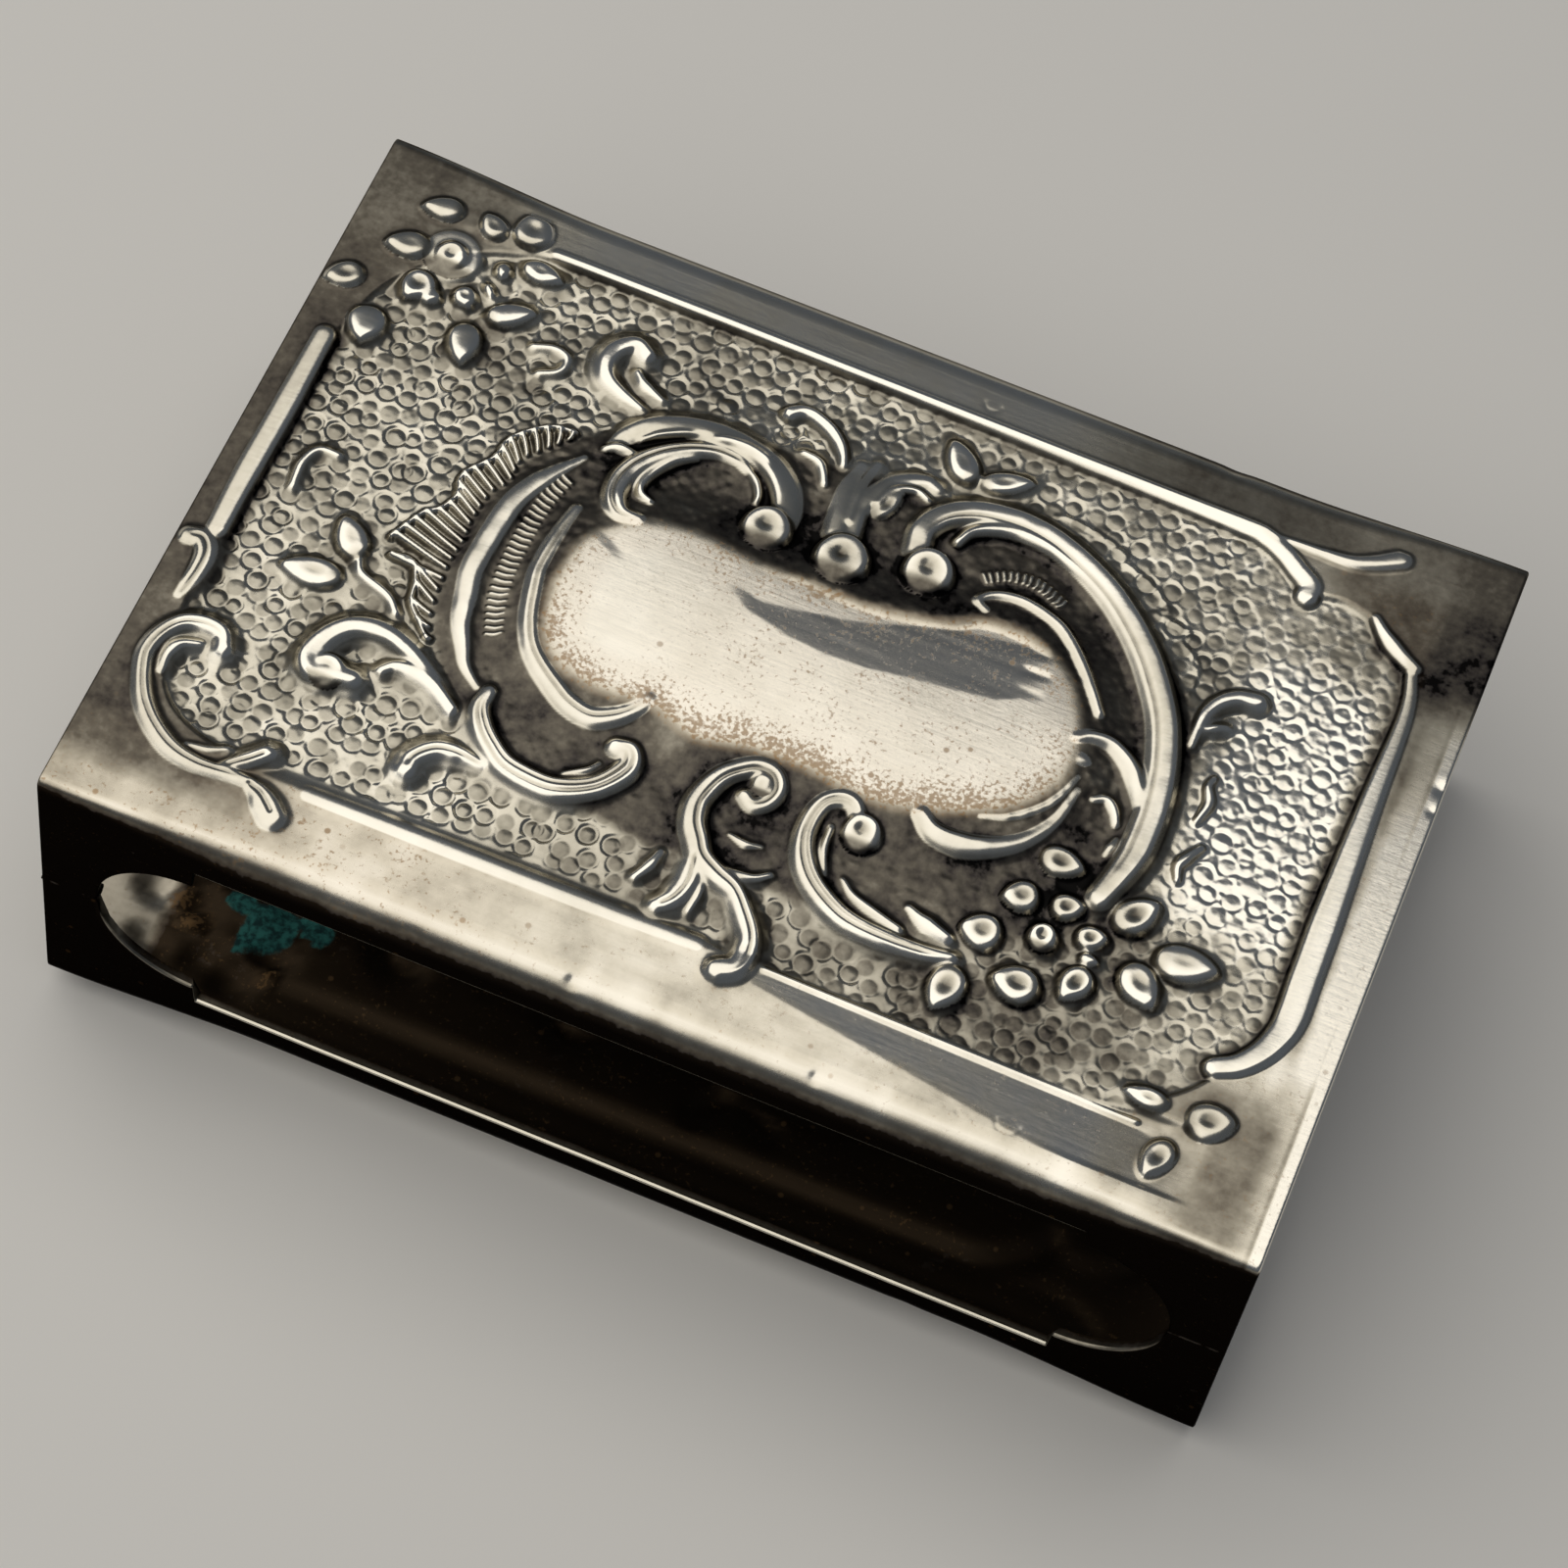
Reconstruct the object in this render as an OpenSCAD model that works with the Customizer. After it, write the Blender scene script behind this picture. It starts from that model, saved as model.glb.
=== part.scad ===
// Silver matchbox case: an open-ended sleeve that slides over a box of matches.
// Two equal struck shells, an upper and a lower one, meet edge to edge halfway up
// the long sides and are soldered on the four short lands beside the striker slots.
// X runs along the case, Y across it and Z up. The origin is under the middle of
// the case, on the surface that it stands on.

/* [Case] */
// Length of the case from open end to open end
case_length = 58; // [54:0.5:75]
// Width across the two folded long sides
case_width = 39.6; // [37:0.2:50]
// Depth between the flat outer faces of the two shells
case_depth = 17.6; // [15.6:0.2:26]
// Thickness of the silver sheet
sheet_t = 0.5; // [0.35:0.05:0.8]
// Outside radius of the folds along the long sides
fold_r = 1.6; // [1:0.1:2.4]

/* [Striker slots] */
// Wall left between a slot's round end and the open end of the case
end_land = 2.75; // [1.5:0.05:6]
// Wall left above and below the slot, measured from the shell's flat face
edge_land = 2.7; // [2.4:0.1:4.5]
// How much the slot narrows, on each edge, where its round ends begin
slot_step = 1.25; // [0.4:0.05:2.5]

/* [Solder] */
// Thickness of the solder between the two shells' edges
solder_film = 0.15; // [0.05:0.01:0.3]
// Radius of the solder bead on the inside of each joint
solder_bead_r = 0.35; // [0.2:0.05:0.6]

/* [Ornament] */
// Height of the plain plaque above the flat of the panel
plaque_h = 1.2; // [0.9:0.05:1.6]
// Length of the plaque
plaque_length = 23.6; // [16:0.2:26]
// Width of the plaque
plaque_width = 9.4; // [7:0.2:11]
// Radius of the plaque's rounded rim
plaque_rim_r = 0.7; // [0.3:0.05:0.85]
// Height of the scrolls above the flat of the panel
scroll_h = 0.9; // [0.5:0.05:1.1]
// Radius of a scroll's rounded back
scroll_r = 0.62; // [0.5:0.02:0.8]
// Height of the frame rails above the flat of the panel
rail_h = 0.45; // [0.3:0.05:0.8]
// Radius of a rail's rounded back
rail_r = 0.42; // [0.35:0.01:0.6]
// Distance of the back rail from the back side
rail_back = 3.4; // [2.5:0.1:5]
// Distance of the front rail from the front side
rail_front = 4.6; // [2.5:0.1:6]
// Distance of the left rail from the left end
rail_left = 1.7; // [1:0.1:4]
// Distance of the right rail from the right end
rail_right = 3.0; // [1.5:0.1:5]
// Break in the frame at the back left corner, where the flower sits
gap_flower = 8; // [6:0.5:12]
// Break in the frame at the left front corner, where the corner scroll sits
gap_scroll = 11; // [8:0.5:13]
// Break in the frame at each of the two right corners
gap_right = 4.5; // [3:0.5:9]

/* [Hidden] */
$fn = 64;
silver = [0.74, 0.70, 0.63];
solder_grey = [0.62, 0.60, 0.57];

// The case stands on the lower plaque, so that plaque's height lifts the rest.
lower_face_z = plaque_h;
upper_face_z = plaque_h + case_depth;
middle_z = plaque_h + case_depth / 2;

// The slot follows the size of the wall that it is cut in.
slot_height = case_depth - 2 * edge_land;
slot_end_r = slot_height / 2 - slot_step;
slot_middle = case_length - 2 * (end_land + slot_end_r);

// The framed field, and the field that the scrolls below were drawn for.
field_x0 = -case_length / 2 + rail_left;
field_x1 = case_length / 2 - rail_right;
field_y0 = -case_width / 2 + rail_front;
field_y1 = case_width / 2 - rail_back;
drawn_length = 53.3;
drawn_width = 31.6;
drawn_centre = [-0.65, 0.6];
fit = min((field_x1 - field_x0) / drawn_length, (field_y1 - field_y0) / drawn_width);
field_centre = [(field_x0 + field_x1) / 2, (field_y0 + field_y1) / 2];

// How far the ornament is rooted in the sheet, short of its inner face.
root = sheet_t / 2;
// Room around the case for the blocks that cut it.
spare = 5;
// Middle of the plaque in the drawn ornament.
plaque_centre = [-0.6, 0.2];

// Scrolls round the plaque: centre x, centre y, radius, first angle, last angle.
scroll_arcs = [
    [  5.6,   8.4,  3.7,   90, 205],  // right scroll, its curl
    [  5.6,   0.8, 11.3,  -28,  90],  // right scroll, its sweep
    [ -4.9,  -0.3, 11.4,  144, 214],  // left scroll
    [ -8.6,  -1.2,  4.9,  180, 300],  // left inner scroll
    [ -8.1,   6.4,  4.0,    0, 215],  // upper left scroll
    [ -9.1,  -6.9,  3.7,  175, 365],  // lower left scroll
    [ -0.2,  -8.0,  2.3,   60, 225],  // lower middle scroll, its curl
    [ -1.7, -15.0,  4.0,  -10,  60],  // lower middle scroll, its tail
    [  7.0,  -7.0,  4.5,  150, 300],  // lower right scroll
    [  7.6,   1.4,  6.0,   18, 108],  // right inner scroll, upper
    [ 13.2,  -0.4,  2.6,   10, 110],  // right inner scroll, middle
    [  7.9,  -0.2,  5.3,  -95,   0],  // right inner scroll, lower
    [-23.2, -11.2,  4.35, 120, 285],  // left corner scroll
    [-18.6,  -8.6,  2.7,   55, 190],  // left leaf scroll
    [-13.0, -12.5,  1.9,   85, 165],  // leaf under the lower left scroll
    [-13.4,  12.2,  1.7,  100, 240],  // small scroll above the upper left one
    [ -5.0,  11.4,  2.0,   10, 130],  // small leaf above the upper left scroll
    [ 19.2,   5.6,  2.1,   95, 190]   // small leaf right of the right scroll
];

// Beads, petals and leaves, each a rounded button: x, y, radius.
buttons = [
    [-5.2, 6.2, 1.5], [-1.3, 6.1, 1.6], [2.8, 7.3, 1.4], [-20.0, -9.0, 1.1],
    [5.0, -7.0, 1.0], [-19.3, -16.7, 0.9], [1.5, -15.6, 0.9], [-5.9, -7.3, 0.8],
    [-24.0, 14.2, 1.0], [-25.4, 16.4, 0.9], [-23.0, 16.4, 0.9], [-26.2, 13.8, 0.9],
    [-24.7, 11.9, 0.9], [-21.1, 17.2, 1.1], [-19.9, 15.2, 0.8], [-20.2, 12.3, 0.8],
    [-21.6, 9.7, 0.9], [-26.0, 9.1, 1.0], [-21.9, -2.0, 0.9], [-22.8, -4.4, 1.0],
    [14.2, -8.4, 0.8], [12.6, -6.9, 0.8], [14.8, -6.4, 0.7], [16.4, -7.5, 0.7],
    [16.4, -9.8, 0.8], [14.0, -11.0, 0.9], [11.6, -9.1, 0.9], [17.8, -5.4, 0.9],
    [20.9, -7.0, 1.1], [19.3, -9.0, 0.9], [11.2, -12.6, 0.9], [13.9, -4.5, 0.9],
    [21.4, -14.0, 0.8], [24.6, -13.9, 1.0], [22.8, -16.5, 0.9], [1.9, 14.2, 0.9],
    [4.6, 13.8, 0.9]
];

// A point of the drawn ornament, moved and fitted to the framed field.
function placed(p) = [for (i = [0, 1]) field_centre[i] + (p[i] - drawn_centre[i]) * fit];

// Rounded rectangle about the origin, with true arcs at its corners.
module rounded_section(width, height, radius) {
    square([width - 2 * radius, height], center = true);
    square([width, height - 2 * radius], center = true);
    for (sx = [-1, 1], sy = [-1, 1])
        translate([sx * (width / 2 - radius), sy * (height / 2 - radius)])
            circle(radius);
}

// Outline of a striker slot: a high middle with narrower round ends.
module slot_outline() {
    square([slot_middle, slot_height], center = true);
    for (side = [-1, 1])
        translate([side * slot_middle / 2, 0])
            circle(slot_end_r);
}

// One shell's plain sheet: panel, two folds and two half-height sides, face up at z = 0.
module folded_sheet() {
    difference() {
        translate([0, 0, -case_depth / 2])
            rotate([90, 0, 90])
                linear_extrude(case_length, center = true)
                    difference() {
                        rounded_section(case_width, case_depth, fold_r);
                        rounded_section(case_width - 2 * sheet_t, case_depth - 2 * sheet_t,
                                        fold_r - sheet_t);
                    }
        translate([0, 0, -case_depth + solder_film / 2])
            cube([case_length + spare, case_width + spare, case_depth], center = true);
        translate([0, 0, -case_depth / 2])
            rotate([90, 0, 0])
                linear_extrude(case_width + spare, center = true)
                    slot_outline();
    }
}

// Half-round back of a ridge or button whose top is at the given height.
module ridge_section(radius, height) {
    translate([0, height - radius])
        circle(radius);
}

// Curved ridge along an arc of the ornament.
module scroll(arc) {
    translate(placed(arc))
        rotate([0, 0, arc[3]])
            rotate_extrude(angle = arc[4] - arc[3])
                translate([arc[2] * fit, 0])
                    ridge_section(scroll_r, scroll_h);
}

// Straight frame rail between two points.
module rail(from, to) {
    run = to - from;
    translate([from[0], from[1], rail_h - rail_r])
        rotate([0, 90, atan2(run[1], run[0])])
            cylinder(r = rail_r, h = norm(run));
}

// Rounded button standing on the panel: a bead, a petal or a leaf.
module button(spot) {
    at = placed(spot);
    translate([at[0], at[1], scroll_h - spot[2]])
        sphere(spot[2]);
}

// Frame of four rails round the field, broken at the corners by flowers and scrolls.
module frame_rails() {
    rail([field_x0 + gap_flower, field_y1], [field_x1 - gap_right, field_y1]);
    rail([field_x0 + gap_scroll, field_y0], [field_x1 - gap_right, field_y0]);
    rail([field_x0, field_y0 + gap_scroll], [field_x0, field_y1 - gap_flower]);
    rail([field_x1, field_y0 + gap_right], [field_x1, field_y1 - gap_right]);
}

// Upright pill with a rounded upper rim.
module pill(length, width, height, rim_r) {
    round_r = width / 2;
    for (side = [-1, 1])
        translate([side * (length / 2 - round_r), 0, 0])
            rotate_extrude()
                pill_side(round_r, height, rim_r);
    rotate([90, 0, 90])
        linear_extrude(length - width, center = true) {
            pill_side(round_r, height, rim_r);
            mirror([1, 0])
                pill_side(round_r, height, rim_r);
        }
}

// Half of the pill's section, from its middle to its side.
module pill_side(half_width, height, rim_r) {
    translate([0, -root])
        square([half_width - rim_r, height + root]);
    translate([0, -root])
        square([half_width, height + root - rim_r]);
    intersection() {
        translate([half_width - rim_r, height - rim_r])
            circle(rim_r);
        square([half_width, height]);
    }
}

// All that stands up from the panel, rooted in the sheet.
module ornament() {
    intersection() {
        translate([-case_length / 2, -case_width / 2, -root])
            cube([case_length, case_width, plaque_h + spare]);
        union() {
            frame_rails();
            for (arc = scroll_arcs)
                scroll(arc);
            for (spot = buttons)
                button(spot);
        }
    }
}

// One struck shell, face up at z = 0, with the hollow that the die leaves behind the plaque.
module struck_shell() {
    difference() {
        union() {
            folded_sheet();
            ornament();
            translate(placed(plaque_centre))
                pill(plaque_length, plaque_width, plaque_h, plaque_rim_r);
        }
        translate(placed(plaque_centre))
            translate([0, 0, -sheet_t - root])
                pill(plaque_length - 2 * sheet_t, plaque_width - 2 * sheet_t,
                     plaque_h + root, plaque_rim_r);
    }
}

module upper_shell() {
    color(silver)
        translate([0, 0, upper_face_z])
            struck_shell();
}

module lower_shell() {
    color(silver)
        translate([0, 0, lower_face_z])
            rotate([180, 0, 0])
                struck_shell();
}

// Solder on one land: a film between the two edges and a bead along the inside.
module solder_seam(end, side) {
    land_x0 = case_length / 2 - end_land;
    inner_y = case_width / 2 - sheet_t;
    color(solder_grey)
        translate([0, 0, middle_z])
            mirror([end < 0 ? 1 : 0, 0, 0])
                mirror([0, side < 0 ? 1 : 0, 0]) {
                    translate([land_x0, inner_y, -solder_film / 2])
                        cube([end_land, sheet_t, solder_film]);
                    intersection() {
                        translate([land_x0, inner_y, 0])
                            rotate([0, 90, 0])
                                cylinder(r = solder_bead_r, h = end_land);
                        translate([land_x0, inner_y - spare, -spare])
                            cube([end_land, spare, 2 * spare]);
                    }
                }
}

upper_shell();
lower_shell();
solder_seam(-1, -1);  // solder_seam_front_left
solder_seam(1, -1);  // solder_seam_front_right
solder_seam(-1, 1);  // solder_seam_back_left
solder_seam(1, 1);  // solder_seam_back_right
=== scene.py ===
"""Looks of the silver matchbox cover: two struck shells with worked panels, and the solder between them.

Each shell is one sheet, worked out as a height over a grid: columns run along the cover, rows run up the
front wall, over the fold, across the panel and down the back wall. Sizes here are in millimetres.
"""

from typing import NamedTuple

import bpy
import numpy as np
from mathutils import Matrix, Vector


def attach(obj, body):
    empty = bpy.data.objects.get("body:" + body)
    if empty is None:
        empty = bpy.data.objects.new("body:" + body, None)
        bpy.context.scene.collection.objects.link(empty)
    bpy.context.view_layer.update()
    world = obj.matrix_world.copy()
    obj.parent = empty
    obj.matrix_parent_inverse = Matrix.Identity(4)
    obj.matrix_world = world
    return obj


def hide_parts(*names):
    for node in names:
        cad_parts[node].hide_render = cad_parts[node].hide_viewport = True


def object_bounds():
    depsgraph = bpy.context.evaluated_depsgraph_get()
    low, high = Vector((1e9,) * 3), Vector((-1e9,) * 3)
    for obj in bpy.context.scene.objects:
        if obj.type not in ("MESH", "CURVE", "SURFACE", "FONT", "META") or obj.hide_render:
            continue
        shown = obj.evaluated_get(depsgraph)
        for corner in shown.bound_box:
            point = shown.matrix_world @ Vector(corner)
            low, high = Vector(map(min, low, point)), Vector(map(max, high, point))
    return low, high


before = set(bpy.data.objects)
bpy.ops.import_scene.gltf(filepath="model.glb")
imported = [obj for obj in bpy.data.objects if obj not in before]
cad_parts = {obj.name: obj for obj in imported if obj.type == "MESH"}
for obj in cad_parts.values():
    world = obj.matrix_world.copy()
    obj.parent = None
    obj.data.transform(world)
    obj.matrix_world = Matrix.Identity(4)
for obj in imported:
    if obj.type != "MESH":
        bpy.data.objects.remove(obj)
cad_low, cad_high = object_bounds()

# Sizes of the cover
MM = 0.001
LENGTH, WIDTH, HEIGHT = (round(side / MM, 3) for side in cad_high - cad_low)
RELIEF = 1.2
SHEET = 0.5
FOLD = 1.6
FOLD_AT_ENDS = 0.5
FOLD_TAPER = 12.0
FACE = HEIGHT - RELIEF
MIDDLE = HEIGHT / 2 - FACE
SLOT_RISE = 6.1
SLOT_STRAIGHT = 21.4
SLOT_END = 4.85
SEAM_RISE = 0.075
EDGE_ROUND = 0.14
PANEL_HALF = WIDTH / 2 - FOLD

# Grid of a shell: rows of a wall and a fold, outside steps to one inside step, first steps from a cut edge
WALL_ROWS = 12
FOLD_ROWS = 12
SIDE_ROWS = WALL_ROWS + FOLD_ROWS
COARSE = 4
EDGE_STEPS = np.array([0.0, 0.04, 0.09, 0.16])
# Columns, panel rows and strips of the upper shell, and of the lower one, which is hardly seen
UPPER_GRID = (896, 568, 8)
LOWER_GRID = (560, 344, 4)
# Side of a noise table, a distance beyond any motif's reach, and a length that is safe to divide by
LATTICE = 64
FAR = 9.0
TINY = 1e-12

# The motifs' places were read on the margin's plane; a raised point is seen off by its height times this.
SIGHT = np.array([0.12, -0.57])
# Each motif leans: it stands higher at its back and right than at its front and left, by these shares.
LEAN = np.array([0.18, 0.1])
# The lens draws the panel's middle this far to the left, and its right end this much narrower.
LENS_DRAW = 0.58
LENS_TAPER = 0.0196


def seen(places, height=0.0):
    """Places read off the photograph, put where they lie: moved for the lens and for their height."""
    x, y = np.asarray(places, float).T
    share = x / (LENGTH / 2)
    flat = np.stack([x + LENS_DRAW * (1 - share ** 2), y * (1 - LENS_TAPER * share)], -1)
    return flat + SIGHT * height


def ramp(low, high, value):
    """Smooth step: 0 at low, 1 at high, and 3t^2 - 2t^3 between them."""
    t = np.clip((value - low) / (high - low), 0.0, 1.0)
    return t * t * (3.0 - 2.0 * t)


def band(value, start, full, last, end):
    """1 from full to last, with a smooth step to 0 at the start and at the end."""
    return ramp(start, full, value) * ramp(end, last, value)


def bell(away, width):
    """Bell curve: 1 at 0, falling as exp(-(away / width)^2)."""
    return np.exp(-(away / width) ** 2)


def near(x, y, middle, half):
    """1 within an oval, easing to 0 over its rim."""
    return ramp(1.3, 0.8, np.hypot((x - middle[0]) / half[0], (y - middle[1]) / half[1]))


def grain(x, y, size, seed):
    """Value noise between 0 and 1: random numbers on a square lattice, smoothly joined."""
    table = np.random.default_rng(seed).random((LATTICE, LATTICE))
    u, v = x / size, y / size
    i, j = np.floor(u).astype(int), np.floor(v).astype(int)
    fu, fv = ramp(0.0, 1.0, u - i), ramp(0.0, 1.0, v - j)
    i, j, i_next, j_next = i % LATTICE, j % LATTICE, (i + 1) % LATTICE, (j + 1) % LATTICE
    here = table[i, j] * (1 - fu) + table[i_next, j] * fu
    beyond = table[i, j_next] * (1 - fu) + table[i_next, j_next] * fu
    return here * (1 - fv) + beyond * fv


def curve(points, step=0.06):
    """Catmull-Rom curve through the points, at an even step, with each sample's share of its length."""
    p = np.asarray(points, float)
    p = np.vstack([2 * p[0] - p[1], p, 2 * p[-1] - p[-2]])
    t = np.linspace(0.0, 1.0, 24, endpoint=False)[:, None]
    a, b, c, d = p[:-3, None], p[1:-2, None], p[2:-1, None], p[3:, None]
    square = (2 * a - 5 * b + 4 * c - d) * t ** 2
    cube = (3 * b - a - 3 * c + d) * t ** 3
    dense = np.vstack([(b + 0.5 * ((c - a) * t + square + cube)).reshape(-1, 2), p[-2]])
    run = np.concatenate([[0.0], np.cumsum(np.hypot(*np.diff(dense, axis=0).T))])
    share = np.linspace(0.0, 1.0, max(3, int(run[-1] / step)))
    return np.stack([np.interp(share * run[-1], run, dense[:, k]) for k in (0, 1)], axis=1), share


class Grid:
    """The grid that a shell is worked out on, and the number of strips that the shell is cut into."""

    def __init__(self, columns, panel_rows, strips):
        self.columns, self.panel_rows, self.strips = columns, panel_rows, strips
        self.rows = panel_rows + 2 * SIDE_ROWS
        end, few = LENGTH / 2, len(EDGE_STEPS) - 1
        even = np.linspace(EDGE_STEPS[-1] - end, end - EDGE_STEPS[-1], columns + 1 - 2 * few)
        self.x_line = np.concatenate([EDGE_STEPS[:-1] - end, even, end - EDGE_STEPS[-2::-1]])
        self.y_line = np.linspace(-PANEL_HALF, PANEL_HALF, panel_rows + 1)
        self.cell = (even[1] - even[0] + self.y_line[1] - self.y_line[0]) / 2
        self.x, self.y = np.meshgrid(self.x_line, self.y_line, indexing="ij")

    def blur(self, field, spread):
        """Gaussian blur of a panel field: a weighted sum of shifted copies, along x and then along y."""
        reach = int(np.ceil(3.0 * spread / self.cell))
        weights = np.exp(-0.5 * (np.arange(-reach, reach + 1) * self.cell / spread) ** 2)
        weights /= weights.sum()
        for axis in (0, 1):
            padding = [(reach, reach) if a == axis else (0, 0) for a in (0, 1)]
            padded = np.pad(field, padding, mode="edge")
            count = np.arange(field.shape[axis])
            field = sum(weight * padded.take(count + k, axis=axis) for k, weight in enumerate(weights))
        return field

    def window(self, low, high, margin):
        """The part of the panel's grid that covers a box with a margin round it."""
        i = np.searchsorted(self.x_line, (low[0] - margin, high[0] + margin))
        j = np.searchsorted(self.y_line, (low[1] - margin, high[1] + margin))
        return slice(*i), slice(*j)

    def distance_to(self, path, margin=1.6, run=12):
        """Distance from each grid point near a path to the path, and the number of its nearest sample."""
        part = self.window(path.min(0), path.max(0), margin)
        x, y = self.x[part], self.y[part]
        best = np.full(x.shape, FAR)
        nearest = np.zeros(x.shape, int)
        for k in range(0, len(path), run):
            piece = path[k:k + run + 1]
            inner = self.window(piece.min(0), piece.max(0), margin)
            local = tuple(slice(max(s.start - p.start, 0), s.stop - p.start) for s, p in zip(inner, part))
            away = np.hypot(x[local][..., None] - piece[:, 0], y[local][..., None] - piece[:, 1])
            closer = away.min(axis=-1) < best[local]
            nearest[local] = np.where(closer, k + away.argmin(axis=-1), nearest[local])
            best[local] = np.where(closer, away.min(axis=-1), best[local])
        return part, best, nearest

    def inside_of(self, points, reach=3.0):
        """Signed distance to a closed curve, positive inside it, held within the reach on both sides.

        A point is inside where a line from it along x crosses the outline an odd number of times."""
        most_crossings = 16
        path, _ = curve(list(points) + [points[0]], step=0.1)
        part, away, _ = self.distance_to(path, margin=reach)
        signed = np.full(self.x.shape, -reach)
        x, y = self.x_line[part[0]], self.y_line[part[1]]
        start, end = path, np.roll(path, -1, axis=0)
        rise = np.where(end[:, 1] == start[:, 1], 1e-9, end[:, 1] - start[:, 1])
        spans = (start[:, 1] > y[:, None]) != (end[:, 1] > y[:, None])
        crossing = start[:, 0] + (y[:, None] - start[:, 1]) / rise * (end[:, 0] - start[:, 0])
        crossing = np.sort(np.where(spans, crossing, 2 * LENGTH), axis=1)[:, :most_crossings]
        odd = ((crossing[None] < x[:, None, None]).sum(axis=-1) % 2) == 1
        signed[part] = np.where(odd, 1.0, -1.0) * np.minimum(away, reach)
        return signed


class Ridge(NamedTuple):
    """A struck ridge: its heights and widths, eased along the run, and the places (x, y) on its way.

    A groove is its place across the ridge, as a share of the half width, and its depth. The tilt scales the
    motifs' lean, the flank is the run over which a side falls, and the foot is the slope beyond it."""
    heights: float | tuple
    widths: tuple
    places: list
    grooves: tuple = ()
    tilt: float = 1.0
    flank: float = 0.3
    foot: float = 0.9


# A thin line has a steep foot and no flank of its own.
THIN = {"flank": 0.0, "foot": 3.0}
# Section of a ridge: fall of its top to the sides, least flank, half width that has the whole flank
RIDGE_CROWN = 0.15
LEAST_FLANK = 0.08
WHOLE_FLANK_AT = 0.35
# A ridge has its whole height where its half width is this share of its greatest width.
WHOLE_HEIGHT_AT = 0.42
GROOVE_WIDTH = 0.09
# Shares of a petal's and a bead's height at which their outlines were read
PETAL_READ_AT = 0.6
BEAD_READ_AT = 0.7
# The back of a bead stands higher than its front, by this share.
BEAD_LEAN = 0.42


class Panel:
    """Struck motifs of a panel: height over the ground, distance from their edges, grooves, dull spots and
    the beads' painted shade.
    """

    def __init__(self, grid):
        self.grid = grid
        self.height = np.full(grid.x.shape, -1.5)
        self.gap = np.full(grid.x.shape, FAR)
        self.cut = np.zeros(grid.x.shape)
        self.dull = np.zeros(grid.x.shape)

    def strike(self, part, shape, gap):
        """Keeps the higher of the motifs, and the smaller distance to an edge."""
        self.height[part] = np.maximum(self.height[part], shape)
        self.gap[part] = np.minimum(self.gap[part], gap)

    def tarnish(self, part, dull):
        """Keeps the duller of the motifs."""
        self.dull[part] = np.maximum(self.dull[part], dull)

    def ridge(self, spec):
        """Strikes a ridge: a top as wide as its widths, and flanks that fall on both sides as a smooth step.

        The top loses height as the square of the way to its sides, and leans across the run."""
        heights = np.atleast_1d(spec.heights)
        path, share = curve(seen(spec.places, heights.mean()))
        half = np.interp(share, np.linspace(0.0, 1.0, len(spec.widths)), spec.widths) / 2
        tall = np.interp(share, np.linspace(0.0, 1.0, len(heights)), heights)
        part, away, nearest = self.grid.distance_to(path)
        half, tall, along = half[nearest], tall[nearest], share[nearest]
        across, up = self.grid.x[part] - path[nearest, 0], self.grid.y[part] - path[nearest, 1]
        run = np.gradient(path, axis=0)
        run = (run / np.linalg.norm(run, axis=1, keepdims=True))[nearest]
        side = np.clip((run[..., 0] * up - run[..., 1] * across) / half, -1.0, 1.0)
        lean = spec.tilt * (LEAN[1] * run[..., 0] - LEAN[0] * run[..., 1])
        reach = half + LEAST_FLANK + spec.flank * np.minimum(1.0, half / WHOLE_FLANK_AT)
        rise = tall * np.minimum(1.0, half / (WHOLE_HEIGHT_AT * max(spec.widths))) ** 0.8
        top = 1.0 - RIDGE_CROWN * np.minimum(away / half, 1.0) ** 2 + lean * side
        shape = rise * top * ramp(reach, 0.7 * half, away)
        shape = np.where(away < reach, shape, spec.foot * (reach - away))
        self.strike(part, shape, away - 0.5 * (half + reach))
        for offset, depth in spec.grooves:
            line = bell((side - offset) * half, GROOVE_WIDTH) * (away < half)
            line = line * band(along, 0.0, 0.12, 0.88, 1.0)
            self.cut[part] = np.maximum(self.cut[part], depth * line)
            self.tarnish(part, 0.5 * line)

    def petal(self, centre, height, x, y, length, width, angle, cup, lean):
        """Strikes a petal: a dome on a drop's outline, round at the flower's centre and pointed outwards.

        Along it the outline is (1 - u)^0.75 (1 + u)^0.5. The cup is a round hollow near its middle."""
        x, y = seen([x, y], PETAL_READ_AT * height)
        reach = max(length, width) / 2
        part = self.grid.window((x - reach, y - reach), (x + reach, y + reach), 1.2)
        across, up = self.grid.x[part] - x, self.grid.y[part] - y
        c, s = np.cos(np.radians(angle)), np.sin(np.radians(angle))
        if c * (x - centre[0]) + s * (y - centre[1]) < 0.0:
            c, s = -c, -s
        u, v = (across * c + up * s) / (length / 2), (up * c - across * s) / (width / 2)
        side = np.maximum(1.0 - u, 1e-6) ** 0.75 * np.maximum(1.0 + u, 1e-6) ** 0.5 / 1.02
        q = np.where(np.abs(u) < 1.0, np.abs(v) / side, FAR)
        inside = q < 1.0
        dome = np.clip(1.0 - np.minimum(q, 1.0) ** 2.6, 0.0, 1.0) ** 0.55
        dome = dome * np.clip(1.0 - u ** 4, 0.0, 1.0) ** 0.5 * (1.0 + lean * up / reach)
        hollow = bell(np.hypot(u + 0.1, v), 0.36)
        gap = np.maximum((np.hypot(u, v) - 0.9) * min(length, width) / 2, 0.02)
        shape = np.where(inside, height * (dome - cup * hollow), -0.9 * gap)
        self.strike(part, shape, np.where(inside, -0.1, gap))
        self.tarnish(part, np.maximum(min(2 * cup, 1.0) * hollow, 0.55 * ramp(-0.35, -0.85, u)) * inside)

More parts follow.
